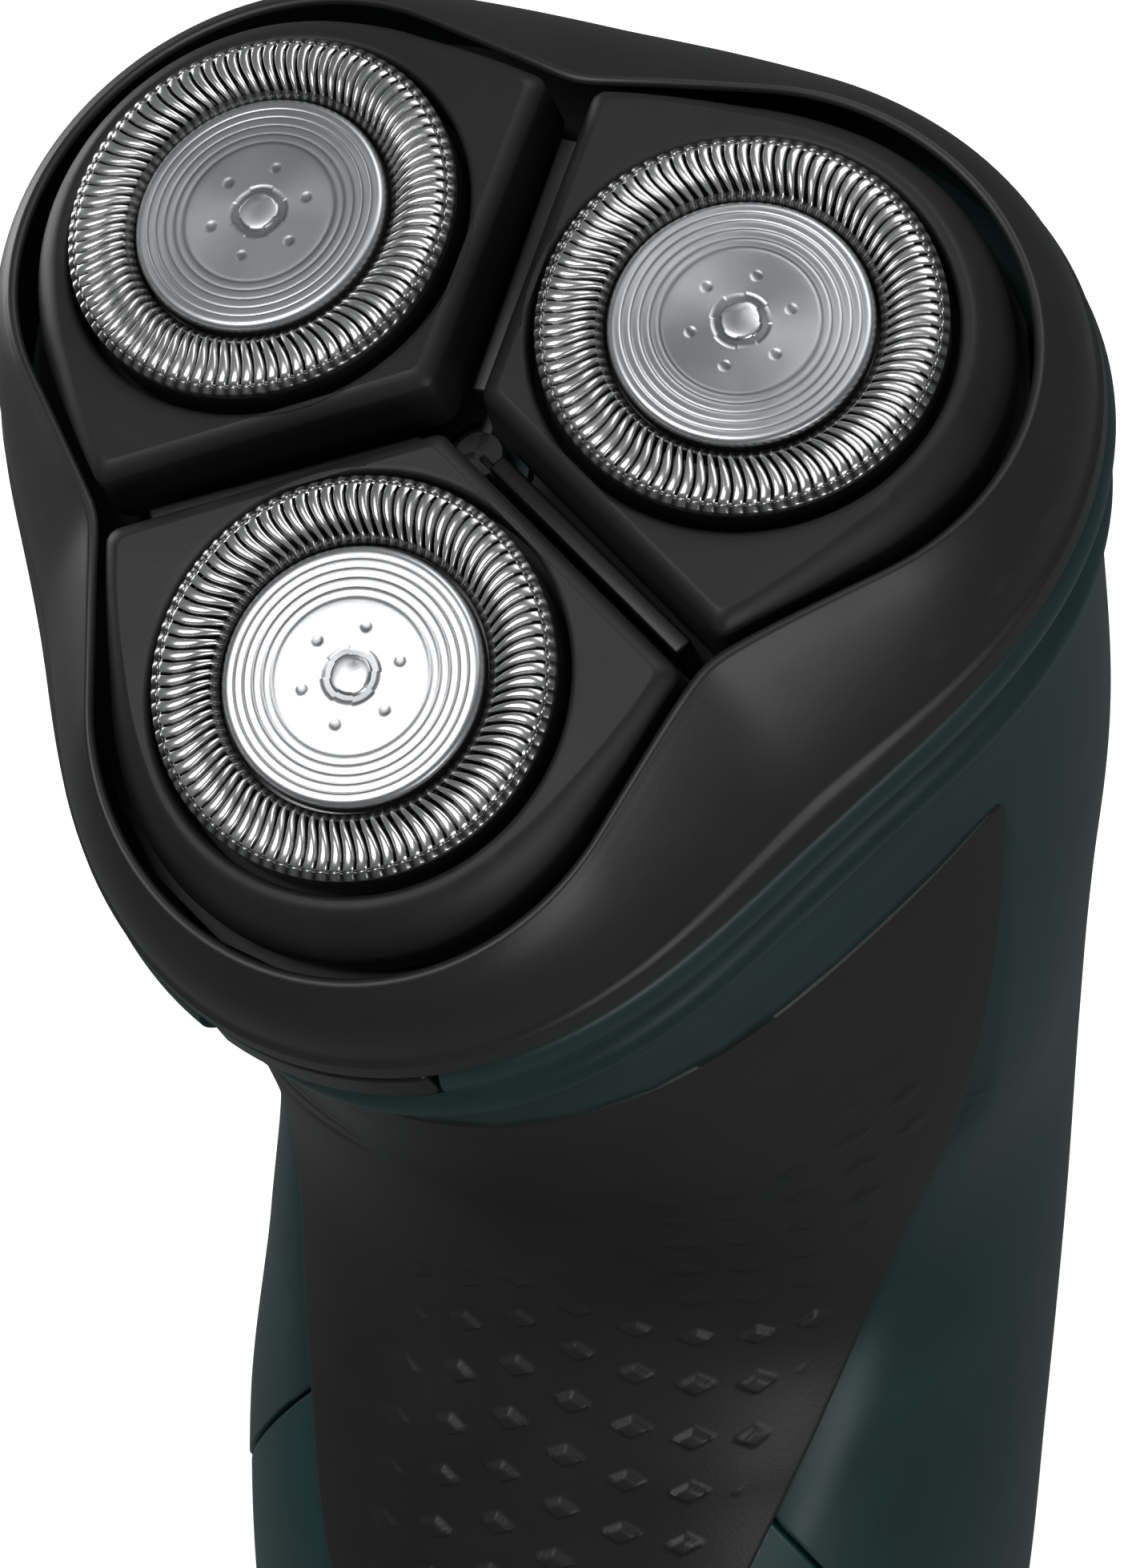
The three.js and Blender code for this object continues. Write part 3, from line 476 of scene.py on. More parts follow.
def guard_mesh():
    """Shaving ring: a domed top of curved ribs between slots, inside two finely notched edges.
    The last value is how much painted shade each point gets: dark in the slots and between the notches, and
    on the rim's sides and underside."""
    pitch = 2 * math.pi / RIBS
    ribs = np.arange(RIBS)[:, None] * pitch
    # from the hole outwards, close together where the height changes
    radii = np.concatenate([
        np.linspace(GUARD_HOLE - 0.1, 8.22, 7), [8.28, 8.34, 8.42], np.linspace(8.55, 11.0, 20),
        [11.08, 11.15], np.linspace(11.24, GUARD_RADIUS, 8),
    ])
    middle = (GUARD_HOLE + GUARD_RADIUS) / 2 + 0.15
    half_width = (GUARD_RADIUS - GUARD_HOLE) / 2
    rows, shade_and_etch_values = [], []
    for radius in radii:
        run = (radius - SLOT_INNER) / (SLOT_OUTER - SLOT_INNER)
        slotted = np.clip((radius - INNER_BAND) / 0.12, 0, 1)
        slotted *= np.clip((SLOT_OUTER + 0.02 - radius) / 0.1, 0, 1)
        slot = 0.13 + 0.15 * max(1 - run, 0) ** 2.2  # half of the slot, as a share of the pitch
        rib = 0.5 - slot
        share = np.array([0, slot * 0.8, slot, slot + 0.2 * rib, slot + 0.55 * rib, 0.5,
                          0.5 + 0.45 * rib, 0.5 + 0.8 * rib, 0.5 + rib, 0.5 + rib + 0.2 * slot])
        side = np.clip(np.abs(share - 0.5) / rib, 0, 1)
        in_slot = np.abs(share - 0.5) > rib + 1e-6
        fall = np.where(in_slot, SLOT_DEPTH, 0) * slotted + RIB_ROOF * side ** 2.6
        notch = 0.5 + 0.5 * np.cos(2 * math.pi * share)
        in_band = radius > SLOT_OUTER or radius < INNER_BAND
        nub = notch * (0.04 if in_band else 0)
        dome = 0.3 - 0.72 * abs((radius - middle) / half_width) ** 2.6
        bead = -0.1 * math.exp(-((radius - 11.22) / 0.06) ** 2)
        bend = 0.92 * pitch * math.sin(2.05 * min(max(run, 0), 1.02))
        angle = (ribs + share * pitch + bend).ravel()
        rows.append(turned(radius, angle, np.tile(dome + bead - fall - nub, RIBS)))
        # painted shade: dark in the slots and between the notches, half dark across the notched bands
        dark = 0.5 + 0.45 * notch if in_band else np.clip(fall / SLOT_DEPTH * 1.6 - 0.35, 0, 1)
        shade_and_etch_values.append(np.tile(dark, RIBS))
    outer_angle, inner_angle = (np.arctan2(row[:, 1], row[:, 0]) for row in (rows[-1], rows[0]))
    rim = [(GUARD_RADIUS + 0.02, -0.8), (GUARD_RADIUS, -1.1), (GUARD_RADIUS, -GUARD_DEPTH),
           (11.1, -GUARD_DEPTH), (11.1, -GUARD_WALL)]
    hole_edge = [(8.2, -GUARD_WALL), (GUARD_HOLE - 0.1, -1.3)]
    rows += [turned(radius, outer_angle, height) for radius, height in rim]
    rows += [turned(radius, inner_angle, height) for radius, height in hole_edge]
    # painted shade on the rim's outer wall, its underside and the hole's edge
    shade_and_etch_values += [np.full_like(outer_angle, 0.6)] * (len(rows) - len(shade_and_etch_values))
    vertices, faces = ring_mesh(np.array(rows))
    return vertices, faces, np.array(shade_and_etch_values).ravel()


DISC_GROOVES = ((6.78, 0.06), (6.25, 0.07), (5.7, 0.1), (5.13, 0.13), (4.58, 0.17))  # radius, half width
DISC_EDGE = (7.08, 7.18, 7.28, 7.38, 7.47, 7.54, 7.59, DISC_RADIUS)
DISC_DEPTH = 1.3
DIMPLES = 6
DIMPLE_CIRCLE = 2.9
DIMPLE_RADIUS = 0.34


def disc_mesh():
    """Cap disc: fine turned grooves, a moat round a domed, rounded-square boss, and six plain dots.
    The last value is how much painted shade each point gets, in the grooves, in the moat and towards the
    rounded edge, together with the six dots' own etched tone."""
    columns = 240
    angle = full_turn(columns)
    radii = [0.02, 0.3, 0.6, 0.85, 1.0, 1.1, 1.18, 1.26, 1.32, 1.42, 1.55, 1.68, 1.78, 1.86, 2.0]
    radii += [*np.linspace(2.3, 3.5, 16), 4.0]
    for centre, half in sorted(DISC_GROOVES):
        radii += [centre - half - 0.08, centre - half, centre - half * 0.5, centre, centre + half * 0.5,
                  centre + half, centre + half + 0.08]
    radii += DISC_EDGE
    rows, shade_and_etch_values = [np.zeros((columns, 3)) + (0, 0, 0.16)], []
    square = (np.abs(np.cos(angle)) ** 4 + np.abs(np.sin(angle)) ** 4) ** -0.25
    reach = 1 + 0.32 * (square - 1)  # the boss's outline, 1 on its flats
    for radius in radii:
        height = -edge_drop(DISC_RADIUS - radius, 0.5) * np.ones(columns)
        # painted shade, darker towards the rounded edge
        hollow = np.full(columns, 0.5 * np.clip((radius - 7.2) / 0.4, 0, 1))
        for centre, half in DISC_GROOVES:
            dip = math.exp(-((radius - centre) / half / 0.8) ** 2)
            height -= 0.03 * dip
            # painted shade in the groove
            hollow += 0.62 * dip
        if radius < 2.0:
            dome = 0.2 * np.sqrt(np.clip(1 - (radius / (1.2 * reach)) ** 2, 0, 1)) + 0.02
            height += np.where(radius < 1.15 * reach, dome, 0)
            moat = (radius > 1.15 * reach) & (radius < 1.65 * reach)
            height -= np.where(moat, 0.05, 0)
            # painted shade in the moat
            hollow += np.where(moat, 0.55, 0)
        turn = angle * DIMPLES
        along = DIMPLE_CIRCLE * np.arctan2(np.sin(turn), np.cos(turn)) / DIMPLES
        dimple = np.clip(1 - (along ** 2 + (radius - DIMPLE_CIRCLE) ** 2) / DIMPLE_RADIUS ** 2, 0, 1)
        height -= 0.05 * np.sqrt(dimple)
        # the dot's own etched tone
        hollow += 0.5 * np.clip(dimple * 4, 0, 1)
        rows.append(turned(radius, angle, height - 0.06))
        shade_and_etch_values.append(hollow)
    for radius in (DISC_RADIUS, 5.0):
        rows.append(turned(radius, angle, -DISC_DEPTH))
        shade_and_etch_values.append(np.zeros(columns))
    rows.append(np.zeros((columns, 3)) + (0, 0, -DISC_DEPTH))
    vertices, faces = close_on_axis(np.array(rows))
    return vertices, faces, np.clip(np.concatenate([np.array(shade_and_etch_values).ravel(), [0, 0]]), 0, 1)


BLADES = 9


def cutter_mesh():
    """Cutter wheel: a disc with a socket below it and upright blades round its edge."""
    wheel = lathe([
        (0, -3.2), (9.9, -3.2), (10.3, -3.35), (10.3, -3.9), (10.1, -4.0), (3.6, -4.0), (3.4, -4.2),
        (3.4, -7.5), (3.2, -7.6), (2.1, -7.6), (2.0, -7.45), (2.0, -4.6), (0, -4.6),
    ], 72)
    blades = []
    for i in range(BLADES):
        vertices, faces = rounded_box((1.1, 0.45, 2.6), (9.6, 0, -2.1), 0.08)
        blades.append((vertices @ rotation("Z", 2 * math.pi * i / BLADES).T, faces))
    return combine(wheel, *blades)


def fillet(before, corner, after, radius, steps=5):
    """Points of a rounded corner between two straight sides."""
    a = (before - corner) / np.linalg.norm(before - corner)
    b = (after - corner) / np.linalg.norm(after - corner)
    half = math.acos(np.clip(a @ b, -1, 1)) / 2
    reach = radius / math.tan(half)
    middle = corner + (a + b) / np.linalg.norm(a + b) * radius / math.sin(half)
    start, end = corner + a * reach - middle, corner + b * reach - middle
    points = []
    for t in np.linspace(0, 1, steps):
        mix = start * (1 - t) + end * t
        points.append(middle + mix / np.linalg.norm(mix) * radius)
    return points


def pod_outline(inset):
    """Outline of one pod in its head's frame, moved in by an inset. The number of points is fixed."""
    side_normal = np.array([-math.sin(math.pi / 3), math.cos(math.pi / 3)])
    flank_normal = np.array([math.cos(FLANK_ANGLE), math.sin(FLANK_ANGLE)])
    offsets = np.array([side_normal @ (POD_APEX, 0) - inset, POD_NOSE - inset])
    corner = np.linalg.solve(np.array([side_normal, flank_normal]), offsets)
    apex = np.array([POD_APEX + inset / math.sin(math.pi / 3), 0])
    mirror = np.array([1, -1])
    turns = np.linspace(FLANK_ANGLE, -FLANK_ANGLE, 61)
    arc = [(POD_NOSE - inset) * np.array([math.cos(t), math.sin(t)]) for t in turns]
    radius = max(0.9 - 0.25 * inset, 0.35)
    upper_side = [apex + (corner - apex) * t for t in np.linspace(0.1, 0.92, 16)]
    lower_side = [p * mirror for p in upper_side[::-1]]
    flank = [corner + (arc[0] - corner) * t for t in np.linspace(0.2, 0.9, 8)]
    lower_flank = [p * mirror for p in flank[::-1]]
    points = fillet(corner * mirror, apex, corner, radius)
    points += upper_side + fillet(apex, corner, arc[0], radius) + flank + arc + lower_flank
    points += fillet(arc[-1], corner * mirror, apex, radius) + lower_side
    return np.array(points)


def pod_mesh():
    """A pod: a flat face round the ring's opening, bevelled sides and a deeply rounded nose."""
    hole = GUARD_RADIUS + 0.5
    lip = 0.4  # rounding of the opening's edge
    bore = 10.9
    full = pod_outline(0)
    direction = full / np.linalg.norm(full, axis=1, keepdims=True)
    turn = np.abs(np.arctan2(full[:, 1], full[:, 0]))
    share = np.clip((0.58 * math.pi - turn) / 0.9, 0, 1)
    nose = share ** 2 * (3 - 2 * share)  # 0 on the sides between pods, 1 round the nose

    def level(outline, height):
        return np.column_stack([outline, np.broadcast_to(height, len(outline))])

    def bevelled(cover):
        side = pod_outline(cover * POD_BEVEL)
        wide = pod_outline(cover * (POD_BEVEL + SHOULDER_WIDTH))
        return side + (wide - side) * nose[:, None]

    bottom = POD_FACE - POD_DEPTH
    seat = POD_FACE - 3.9  # the step that the ring's rim rests over
    rows = [level(direction * bore, bottom), level(direction * bore, seat),
            level(direction * hole, seat), level(direction * hole, POD_FACE - lip)]
    for t in np.linspace(0.25, 1, 4) * math.pi / 2:
        outset, rise = lip * (1 - math.cos(t)), lip * math.sin(t)
        rows.append(level(direction * (hole + outset), POD_FACE - lip + rise))
    inner, outer = direction * (hole + lip), bevelled(1)
    for t in np.linspace(0.15, 0.97, 8):
        rows.append(level(inner * (1 - t) + outer * t, POD_FACE))
    depth = POD_BEVEL + SHOULDER_DEPTH * nose
    roundness = 0.5 + 0.2 * nose
    for t in np.linspace(0, 1, 11):
        arc_cover, arc_drop = 1 - math.sin(t * math.pi / 2), 1 - math.cos(t * math.pi / 2)
        drop = depth * (roundness * arc_drop + (1 - roundness) * t)
        straight, curved = bevelled(1 - t), bevelled(arc_cover)
        rows.append(level(straight + (curved - straight) * roundness[:, None], POD_FACE - drop))
    for share in (0.3, 0.6, 0.93):
        rows.append(level(full, (POD_FACE - depth) * (1 - share) + bottom * share))
    rows.append(level(pod_outline(0.3), bottom))
    return ring_mesh(np.array(rows))


def place_head(name):
    """One shaving head in its pod: ring, disc, cutter wheel and the pod itself."""
    place = head_to_row(name)
    # each hollow array holds the mesh's painted shade, and on the disc also the dots' etched tone
    vertices, faces, hollow = guard_mesh()
    guard = make_object(f"shaving_ring_{name}", place(vertices), faces, "guard", f"head_{name}",
                        60, {"painted_shade_and_etch": hollow})
    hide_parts(f"guard_{name}")
    vertices, faces, hollow = disc_mesh()
    disc = make_object(f"ring_disc_{name}", place(vertices), faces, "disc", f"head_{name}",
                       50, {"painted_shade_and_etch": hollow})
    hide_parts(f"cap_disc_{name}")
    vertices, faces = cutter_mesh()
    wheel = make_object(f"cutter_wheel_{name}", place(vertices), faces, "steel", f"cutter_{name}")
    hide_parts(f"cutter_{name}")
    vertices, faces = pod_mesh()
    wedge = make_object(f"head_pod_{name}", place(vertices), faces, "pod", f"pod_{name}",
                        50)
    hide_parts(f"pod_{name}")


# ---------------------------------------------------------------- shaving unit


def skirt_outer(angle, along):
    """The skirt's outer surface: a short upright flange band, a crease, then a scoop up to the lip."""
    lobe = (1 + np.cos(3 * angle)) / 2
    rear = np.maximum(-np.cos(angle), 0) ** 4
    rise = along ** (1.5 + 2.0 * lobe + 1.3 * rear * (1 - lobe))
    radius = lobed_radius(angle) * (1 - rise) + pods_radius(angle, LIP_GROWTH) * rise
    lip = -4.3 - 2.0 * np.cos(3 * angle)
    height = UNIT_RIM + (lip - UNIT_RIM) * along
    above_band = np.clip((height - (UNIT_RIM + 2.1)) / 0.5, 0, 1)
    crease = 0.3 * above_band * (1 - np.clip(along * 1.6 - 0.4, 0, 1))
    return radius - crease, height


def skirt_mesh():
    """The skirt: rounded rim, outer surface, rounded lip and the inside of the wall."""
    angle = full_turn(288)
    rows = []
    base, _ = skirt_outer(angle, 0.0)
    for inset, rise in ((0.35, 0.0), (0.12, 0.1), (0.0, 0.32)):
        rows.append(around_face(base - inset, angle, UNIT_RIM + rise))
    wall = [*np.linspace(0.04, 0.16, 4), *np.linspace(0.18, 0.24, 5), *np.linspace(0.28, 0.97, 26)]
    for along in wall:
        radius, height = skirt_outer(angle, along)
        rows.append(around_face(radius, angle, height))
    top, crown = skirt_outer(angle, 1.0)
    for turn in np.radians(np.linspace(10, 170, 7)):
        inset, rise = 0.4 - 0.38 * math.cos(turn), 0.3 * math.sin(turn) - 0.1
        rows.append(around_face(top - inset, angle, crown + rise))
    for along in np.linspace(0.93, 0.02, 12):
        radius, height = skirt_outer(angle, along)
        rows.append(around_face(radius - 1.6 * (1 - 0.55 * along ** 4), angle, height))
    rows.append(around_face(base - 1.5, angle, UNIT_RIM))
    return ring_mesh(np.array(rows))


def tube_between(radius, bore, start, end):
    """A tube along X with bevelled ends."""
    edge = 0.2
    profile = [(bore, start), (radius - edge, start), (radius, start + edge), (radius, end - edge),
               (radius - edge, end), (bore, end)]
    vertices, faces = ring_mesh(np.array([turned(r, full_turn(40), x) for r, x in profile]))
    return vertices[:, [2, 0, 1]], faces


HINGE_CENTRE = (0, HINGE_BACK, HINGE_DROP)


def build_unit():
    """The skirt with its hinge knuckle and catch, and the rails between the pods."""
    vertices, faces = skirt_mesh()
    skirt = make_object("skirt_shell", face_to_row(vertices), faces, "skirt", "shaving_unit",
                        35)
    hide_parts("unit_skirt")
    knuckle, knuckle_faces = tube_between(1.5, 1.0, -6, 6)
    arm = rounded_box((12, 1.7, 3.2), (0, HINGE_BACK - 0.8, HINGE_DROP + 2.1), 0.3)
    vertices, faces = combine((knuckle + HINGE_CENTRE, knuckle_faces), arm)
    make_object("skirt_hinge", face_to_row(vertices), faces, "skirt", "shaving_unit")
    vertices, faces = rounded_box((7, 2.6, 1), (0, -33.5, -14.3), 0.15)
    make_object("skirt_catch", face_to_row(vertices), faces, "skirt", "shaving_unit")

    rails = [lathe([(0, -9.6), (1.6, -9.6), (1.6, -8.1), (1.4, -7.9), (0, -7.9)], 36)]
    bars = (((1.2, 16.4, 3.6), (0, 10.8, -6.4)), ((0.9, 18, 1.7), (0, 9, -8.75)))  # size, centre
    for i in range(3):
        for size, centre in bars:
            vertices, faces = rounded_box(size, centre, 0.22)
            rails.append((vertices @ rotation("Z", 2 * math.pi * i / 3).T, faces))
    vertices, faces = combine(*rails)
    spider = make_object("rail_spider", face_to_row(vertices), faces, "rail", "shaving_unit")
    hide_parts("centre_spider")


# ---------------------------------------------------------------- collar, button and springs

COLLAR_PROFILE = (  # how far it stands out from the lobed outline, and height
    (-0.6, COLLAR_TOP), (-0.15, -15.8), (0.15, -16.5), (0.2, -17.3), (-0.05, -18.4), (-0.6, -19.8),
    (-1.25, -21.2), (-1.75, -22.5), (-1.8, -23.1), (-1.55, -23.7), (-1.2, -24.3), (-0.95, -25.0),
    (-0.95, -25.7), (-1.1, -26.2), (-1.4, -26.6),
)
COLLAR_BOTTOM = -26.6
COLLAR_WALL = 3.6


def collar_mesh():
    """The band under the unit, with a notch through its wall at the front for the release button."""
    edge = BUTTON_HALF_ANGLE + 0.004
    shelf = COLLAR_TOP - 4.05
    plain = np.linspace(edge + 0.005, 2 * math.pi - edge - 0.005, 300)
    notch = np.linspace(-edge, edge, 25)
    angle = np.concatenate([notch, plain])
    in_notch = np.arange(len(angle)) < len(notch)
    profile = smooth_profile(COLLAR_PROFILE, 4)
    cut = profile[profile[:, 1] > shelf]
    shelf_reach = np.linspace(-COLLAR_WALL, cut[-1, 0], len(cut) + 1)[1:]
    rows = []
    for i, (outset, height) in enumerate(profile):
        lowered = in_notch & (height > shelf)
        reach = np.where(lowered, shelf_reach[min(i, len(cut) - 1)], outset)
        rows.append(around_face(lobed_radius(angle) + reach, angle, np.where(lowered, shelf, height)))
    inner = lobed_radius(angle) - COLLAR_WALL
    rows.append(around_face(inner, angle, COLLAR_BOTTOM))
    rows.append(around_face(inner, angle, np.where(in_notch, shelf, COLLAR_TOP)))
    return ring_mesh(np.array(rows))


def button_mesh():
    """The release button: a strip that follows the collar, with rounded edges, and its hook."""
    low, high = COLLAR_TOP - 3.7, COLLAR_TOP - 0.3
    half = BUTTON_HALF_ANGLE - 0.012
    across = [-1, -0.985, -0.96, -0.93, *np.linspace(-0.88, 0.88, 31), 0.93, 0.96, 0.985, 1]
    up = [0, 0.03, 0.08, 0.14, *np.linspace(0.2, 0.8, 9), 0.86, 0.92, 0.97, 1]
    angle, share = np.meshgrid(np.multiply(across, half), up)
    height = low + (high - low) * share
    from_side = (half - np.abs(angle)) * 35  # millimetres, at the collar's front radius
    from_end = np.minimum(height - low, high - height)
    drop = edge_drop(from_side, 0.45) + edge_drop(from_end, 0.45)
    outer = around_face(lobed_radius(angle) - 0.12 - drop, angle, height)
    inner = around_face(lobed_radius(angle) - 3.2, angle, height)
    return combine(
        slab_mesh(outer, inner),
        rounded_box((9, 5.6, 1.5), (0, -30.6, COLLAR_TOP - 2.4), 0.2),
        rounded_box((7, 1.3, 4.9), (0, -30.2, -15.1), 0.2),
        rounded_box((7, 1.5, 0.8), (0, -31.1, -13.05), 0.2),
    )


def coil_points(radius, start, end, turns, steps):
    """The middle line of a coil spring, from a lower to an upper height."""
    t = np.linspace(0, 1, steps)
    return turned(radius, 2 * math.pi * turns * t, start + (end - start) * t)


def wire_mesh(points, radius, sides=10):
    """A round wire along a path, closed at both ends."""
    tangent = np.gradient(points, axis=0)
    tangent /= np.linalg.norm(tangent, axis=1, keepdims=True)
    side = np.cross(tangent, (0, 0, 1))
    side /= np.linalg.norm(side, axis=1, keepdims=True)
    up = np.cross(side, tangent)
    angle = full_turn(sides)[None, :, None]
    rings = points[:, None] + radius * (np.cos(angle) * side[:, None] + np.sin(angle) * up[:, None])
    first, last = (np.repeat(points[None, [end]], sides, 1) for end in (0, -1))
    return close_on_axis(np.concatenate([first, rings, last]))


SPINDLE_CIRCLE = 16.5


def build_neck():
    """The collar with its hinge knuckles, the release button and the three spindle springs."""
    vertices, faces = collar_mesh()
    collar = make_object("neck_collar", face_to_row(vertices), faces, "green", "handle", 35)
    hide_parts("collar")
    for side, word in ((-1, "left"), (1, "right")):
        knuckle, knuckle_faces = tube_between(1.5, 0.72, side * 8.9 - 2.6, side * 8.9 + 2.6)
        make_object(f"collar_knuckle_{word}", face_to_row(knuckle + HINGE_CENTRE), knuckle_faces, "green",
                    "handle")
    vertices, faces = button_mesh()
    button = make_object("release_strip", face_to_row(vertices), faces, "button", "release_button",
                         50)
    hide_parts("release_button")
    for name, degrees in HEADS.items():
        centre = turned(SPINDLE_CIRCLE, math.radians(degrees), 0)
        vertices, faces = wire_mesh(coil_points(1.72, -24.5, -16.5, 5.5, 260), 0.24)
        spring = make_object(f"coil_{name}", face_to_row(vertices + centre), faces, "steel", f"gear_{name}")
        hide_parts(f"spindle_spring_{name}")


# ---------------------------------------------------------------- handle

EDGE_ROUND = 0.22
SEAM_GAP = 0.011  # radians, between the front and rear shells
ARCH_GAP = 0.025  # the shells start this share of a section above the sleeve


def patch(angles, places, inset, thickness):
    """A closed sheet on the handle, from an inset down to a full thickness."""
    outer = handle_point(angles, places, inset)
    inner = handle_point(angles, places, thickness)
    return slab_mesh(outer, inner)


def edge_spread(count):
    """Shares from 0 to 1, closer together near both ends for rounded edges."""
    fine = np.array([0, 0.003, 0.007, 0.013, 0.02])
    return np.concatenate([fine, np.linspace(0.03, 0.97, count), 1 - fine[::-1]])


def arc_length(angles, places, axis):
    """Distance in millimetres from the nearer end of the grid along one of its directions."""
    points = handle_point(angles, places)
    steps = np.linalg.norm(np.diff(points, axis=axis), axis=-1)
    zero = np.zeros((1, steps.shape[1])) if axis == 0 else np.zeros((steps.shape[0], 1))
    forward = np.concatenate([zero, np.cumsum(steps, axis)], axis)
    total = forward[-1:] if axis == 0 else forward[:, -1:]
    return np.minimum(forward, total - forward)


def rounded_border(angles, places, radius):
    """How far the rounded edges of a grid on the handle fall away on all four sides."""
    from_ends, from_sides = arc_length(angles, places, 0), arc_length(angles, places, 1)
    return edge_drop(from_ends, radius) + edge_drop(from_sides, radius)


def under_grip(angles, places):
    """How deep the recess for the grip is. It starts just inside the grip's own outline."""
    # each is a distance in millimetres, from an angle or from a share of a section's height
    beside = (np.abs(angles) - grip_half_angle(places)) * 28
    above = (places - GRIP_TOP) * 18
    below = (GRIP_BOTTOM - places) * 16
    inside = -np.maximum(np.maximum(beside, above), below)
    return 1.5 * np.clip((inside - 0.8) / 0.5, 0, 1)


def place_above_arch(angles, share):
    """Places on the shells, from the arched seam to their top."""
    low = arch_seam(angles) + ARCH_GAP
    return low + (SHELL_TOP - low) * share


def front_shell_grid():
    """Angle and place grids for the front shell, whose columns follow the sides of the grip."""
    shares = np.concatenate([edge_spread(70)[:-6], [0.955, 0.97, 0.985, 0.993, 0.997, 1.0]])
    # angles from the grip's edge, close together on the wall of its recess
    wall = np.array([0.03, 0.012, 0.0, -0.008, -0.0125, -0.017, -0.0215, -0.026, -0.0305, -0.036, -0.05])
    beyond = edge_spread(34)[:-5]
    angles = []
    for share in shares:
        edge = grip_half_angle(np.clip(place_above_arch(0.0, share), GRIP_BOTTOM, GRIP_TOP))
        outer = SIDE_SEAM - (SIDE_SEAM - edge - 0.05) * beyond
        half = np.concatenate([outer, edge + wall, np.linspace(edge - 0.09, 0.04, 10)])
        angles.append(np.concatenate([-half, half[::-1]]))
    angles = np.array(angles)
    return angles, place_above_arch(angles, shares[:, None])


def build_shells():
    """The front shell with the recess for the grip, and the rear shell."""
    angles, places = front_shell_grid()
    inset = rounded_border(angles, places, EDGE_ROUND) + under_grip(angles, places)
    vertices, faces = patch(angles, places, inset, 2.8)
    front = make_object("front_half_shell", handle_to_row(vertices), faces, "green", "handle",
                        50)
    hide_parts("front_shell")

    angle = SIDE_SEAM + SEAM_GAP + 2 * (math.pi - SIDE_SEAM - SEAM_GAP) * edge_spread(50)
    angles, shares = np.meshgrid(angle, edge_spread(60))
    places = place_above_arch(angles, shares)
    vertices, faces = patch(angles, places, rounded_border(angles, places, EDGE_ROUND), 2.0)
    rear = make_object("rear_half_shell", handle_to_row(vertices), faces, "green", "handle",
                       50)
    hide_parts("rear_shell")


# Middles of the button and the lens, from the face's centre
BUTTON_Y = 7.5
BUTTON_Z = -126.0
BUTTON_WELL = 6.55  # radius of its hollow in the sleeve
LENS_Y = 9.0
LENS_Z = -138.0
LENS_WELL = 1.5


def build_sleeve():
    """The lower sleeve, with a round hollow for the power button and the grip's lower end."""
    angle = np.linspace(-math.pi, math.pi, 420, endpoint=False)
    angles, shares = np.meshgrid(angle, edge_spread(90))
    places = BASE_CAP_TOP + (arch_seam(angles) - BASE_CAP_TOP) * shares
    points = handle_point(angles, places)
    from_button = np.hypot(points[..., 0], points[..., 2] - BUTTON_Z)
    from_lens = np.hypot(points[..., 0], points[..., 2] - LENS_Z)
    front = np.cos(angles) > 0
    hollow = np.where(front, np.clip((BUTTON_WELL - from_button) / 0.25, 0, 1), 0) * 1.9
    hollow += np.where(front, np.clip((LENS_WELL - from_lens) / 0.25, 0, 1), 0) * 0.5
    hollow = np.maximum(hollow, under_grip(angles, places))
    inset = 0.15 + edge_drop(arc_length(angles, places, 0), EDGE_ROUND) + hollow
    outer, inner = handle_point(angles, places, inset), handle_point(angles, places, 2.8)
    vertices, faces = ring_mesh(np.concatenate([outer, inner[::-1]]))
    sleeve = make_object("teal_sleeve", handle_to_row(vertices), faces, "teal", "handle", 50)
    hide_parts("lower_sleeve")


GRIP_RADIUS = 28.5  # turns an angle on the grip into a distance across it
STUD_PITCH = 4.05
STUD_SHIFT = 0.7  # the middle column stands this far to the left
STUD_HALF = (1.5, 0.9)  # half of a stud's width and height
STUD_RISE = 0.4
CREASE_PITCH = 2.9
CREASE_DEPTH = 0.35


def stud_height(across, along, strength):
    """Rhombus studs in columns, whose rows curve down to the right. Distances are in millimetres."""
    middle = np.round((across + STUD_SHIFT) / STUD_PITCH) * STUD_PITCH - STUD_SHIFT
    row_run = along - 22.4 + 0.45 * middle - 0.014 * middle ** 2
    local_y = (row_run + STUD_PITCH / 2) % STUD_PITCH - STUD_PITCH / 2
    rhombus = 1 - np.abs(across - middle) / STUD_HALF[0] - np.abs(local_y) / STUD_HALF[1]
    return np.clip(rhombus * 2.6, 0, 1) * strength


def stud_share(across, along, to_edge):
    """How high the studs stand: full in the lower middle, faint at the upper right, none at the left."""
    lower = np.clip((40 - along) / 4, 0, 1) * np.clip((across + 11) / 6, 0, 1)
    upper = 0.3 * np.clip((62 - along) / 8, 0, 1) * np.clip((across - 9) / 4, 0, 1)
    return np.maximum(lower, upper) * np.clip((along - 6) / 6, 0, 1) * np.clip((to_edge - 3.5) / 2, 0, 1)


def crease_depth(across, along):
    """Shallow wavy creases that run across the grip's upper left."""
    slanted = along - 0.25 * across
    wave = np.cos(slanted * math.pi / CREASE_PITCH + 0.9 * np.sin(across / 5)) ** 10
    share = np.clip((along - 46) / 5, 0, 1) * np.clip((66 - along) / 6, 0, 1)
    return CREASE_DEPTH * wave * share * np.clip((-across - 6) / 8, 0, 1)


